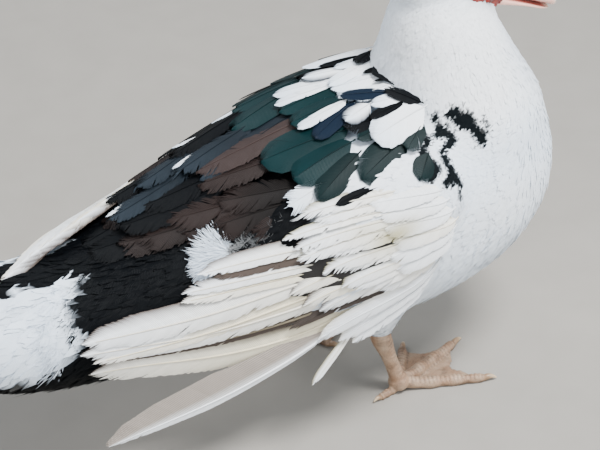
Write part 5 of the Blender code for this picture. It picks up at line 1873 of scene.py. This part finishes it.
def scute_relief(side_name, points, normals):
    """Plates across the front of the shank and the tops of the toes: height, and how deep in a joint."""
    foot, hock = foot_centre(side_name), hock_place(side_name)
    best = np.full(len(points), 0.013)
    along = np.zeros(len(points))
    for toe in TOES:
        direction = toe_direction(side_name, toe)
        run = (points - foot) @ direction
        off = np.linalg.norm(points - foot - np.outer(run, direction) - (0, 0, -0.004), axis=1)
        near = (off < best) & (run > 0.006)
        best, along = np.where(near, off, best), np.where(near, run, along)
    on_toe = (best < 0.0066) & (points[:, 2] < 0.016)
    up = (hock - foot) / np.linalg.norm(hock - foot)
    run = (points - foot) @ up
    on_shank = (points[:, 2] > 0.014) & (normals[:, 0] > -0.1)
    place = np.where(on_shank, run * 0.8, along)
    facing = np.where(on_shank, smooth_step(-0.1, 0.5, normals[:, 0]), smooth_step(0.1, 0.7, normals[:, 2]))
    plate = np.abs(np.sin(np.pi * place / SCUTE_LENGTH)) ** 0.35
    return (plate - 0.8) * facing * (on_shank | on_toe), (1 - plate) * facing * (on_shank | on_toe)


def make_leg(side_name, material):
    bodies = [ball(foot_centre(side_name), KNUCKLE_RADIUS), shank_body(side_name)]
    bodies += [toe_body(side_name, toe) for toe in TOES]
    bodies.append(web_body(side_name, "inner", "middle", 0.12))
    bodies.append(web_body(side_name, "middle", "outer", 0.23))
    points, quads = remeshed(bodies, LEG_VOXEL)
    points = relaxed(points, quads, 3)
    normals = point_normals(points, quads)
    relief, joint = scute_relief(side_name, points, normals)
    points = points + normals * (relief * 0.0011 + 0.00015 * ripple(points, 0.004, 121))[:, None]
    points[:, 2] = np.maximum(points[:, 2], 0.0)
    tan, pale, dull = linear("#a07f64"), linear("#b69b82"), linear("#614c3b")
    mix = (0.5 + 0.5 * ripple(points, 0.018, 122))[:, None]
    tint = blend(pale, tan, mix)
    # Darker within 6 mm of the floor, as painted shade where the foot meets it.
    low = smooth_step(0.006, 0.0, points[:, 2])[:, None] * 0.5
    spots = 0.35 * smooth_step(0.3, 0.9, ripple(points, 0.011, 123))[:, None]
    tint = blend(tint, dull, np.clip(low + 0.8 * joint[:, None] + spots, 0, 1))
    name = f"leg_{side_name}"
    stands_for = (f"shank_{side_name}", f"foot_{side_name}")
    make_piece(name, points, [quads], material, tint, stands_for=stands_for)


def make_claw(side_name, toe, material):
    """A claw that carries the toe on and comes down to the floor at its tip."""
    root, radius = toe_line(side_name, toe, 1.0)
    share = np.linspace(0, 1, 24)
    profile = ((-0.25, 0.74), (0.0, 0.72), (0.3, 0.66), (0.6, 0.48), (0.85, 0.26), (1.0, 0.06))
    share = -0.25 + 1.25 * share
    ahead = np.clip(share, 0, 1)
    drop = (root[2] - radius * 0.30) * ahead**2
    rise = 0.0012 * np.sin(np.pi * ahead) - drop + radius * 0.2 * share
    centres = root + np.outer(share * CLAW_LENGTH[toe], toe_direction(side_name, toe))
    centres[:, 2] += rise
    points, faces = tube(centres, radius * row_at(profile, share)[:, 0], 20)
    far = smooth_step(0.2, 1.0, (points - root) @ toe_direction(side_name, toe) / CLAW_LENGTH[toe])
    tint = blend(linear("#8f7358"), linear("#c9b393"), far[:, None])
    name = f"horn_{toe}_{side_name}"
    make_piece(name, points, faces, material, tint, stands_for=(f"claw_{toe}_{side_name}",))


LEG_SKIN = skin_material("scaled_leg_skin", 0.50, 1.1, 0.45, 0.06)
CLAW_HORN = horn_material("claw_horn", 0.40, 0.2)
for leg_side in SIDES:
    make_leg(leg_side, LEG_SKIN)
    for claw_toe in TOES:
        make_claw(leg_side, claw_toe, CLAW_HORN)


# ---------------------------------------------------------------- camera, light and floor

CAMERA_TARGET = Vector((0.0275, 0.0, 0.1494))
CAMERA_AZIMUTH, CAMERA_ELEVATION = math.radians(-26.21), math.radians(34.49)
CAMERA_DISTANCE = 1.90
FOCAL_PIXELS, FRAME_WIDTH_PIXELS, SENSOR_MM = 2325.8, 600, 36.0
# Lights: name, place, width across and watts.
LIGHTS = (
    ("key_light", (0.45, -0.7, 1.9), 0.7, 91),
    ("fill_light", (-1.6, -1.2, 1.1), 1.8, 20),
    ("low_light", (1.0, -1.5, 0.40), 1.4, 24),
    ("back_light", (-0.6, 1.8, 1.5), 1.2, 26),
)
FLOOR_REACH = 6


def make_camera():
    back = Vector(
        (
            math.sin(CAMERA_AZIMUTH) * math.cos(CAMERA_ELEVATION),
            -math.cos(CAMERA_AZIMUTH) * math.cos(CAMERA_ELEVATION),
            math.sin(CAMERA_ELEVATION),
        )
    )
    data = bpy.data.cameras.new("camera")
    data.sensor_width = SENSOR_MM
    data.lens = SENSOR_MM * FOCAL_PIXELS / FRAME_WIDTH_PIXELS
    camera = bpy.data.objects.new("camera", data)
    camera.location = CAMERA_TARGET + Vector(SHIFT) + back * CAMERA_DISTANCE
    camera.rotation_mode = "QUATERNION"
    camera.rotation_quaternion = (-back).to_track_quat("-Z", "Y")
    bpy.context.scene.collection.objects.link(camera)
    bpy.context.scene.camera = camera


def area_light(name, place, size, watts):
    data = bpy.data.lights.new(name, "AREA")
    data.shape = "DISK"
    data.size = size
    data.energy = watts
    light = bpy.data.objects.new(name, data)
    light.location = Vector(place) + Vector(SHIFT)
    aim = Vector((0.0, 0.0, 0.15)) + Vector(SHIFT) - light.location
    light.rotation_mode = "QUATERNION"
    light.rotation_quaternion = aim.to_track_quat("-Z", "Y")
    bpy.context.scene.collection.objects.link(light)


def make_floor():
    """Painted board: a smooth, pale, matt floor that takes soft shadows."""
    material, tree, shader = new_material("painted_board")
    place = add_node(tree, "ShaderNodeTexCoord")
    grain = add_node(
        tree, "ShaderNodeTexNoise", {"Vector": place.outputs["Object"], "Scale": per_metre(40.0)}
    )
    tone = add_node(
        tree,
        "ShaderNodeMix",
        {"Factor": grain.outputs["Fac"], "A": (*linear("#8f8b84"), 1), "B": (*linear("#98948d"), 1)},
        data_type="RGBA",
    )
    tree.links.new(tone.outputs["Result"], shader.inputs["Base Color"])
    shader.inputs["Roughness"].default_value = 0.9
    corners = [(x * FLOOR_REACH, y * FLOOR_REACH, 0) for x, y in ((-1, -1), (1, -1), (1, 1), (-1, 1))]
    mesh, _ = raw_mesh("floor", np.array(corners, float), [np.array([[0, 1, 2, 3]])])
    mesh.materials.append(material)
    floor = bpy.data.objects.new("floor", mesh)
    bpy.context.scene.collection.objects.link(floor)


def make_world():
    world = bpy.data.worlds.new("studio")
    world.use_nodes = True
    background = world.node_tree.nodes["Background"]
    background.inputs["Color"].default_value = (*linear("#cfd9e6"), 1)
    background.inputs["Strength"].default_value = 0.80
    bpy.context.scene.world = world


make_camera()
for light_name, light_place, disk_size, light_watts in LIGHTS:
    area_light(light_name, light_place, disk_size, light_watts)
make_floor()
make_world()
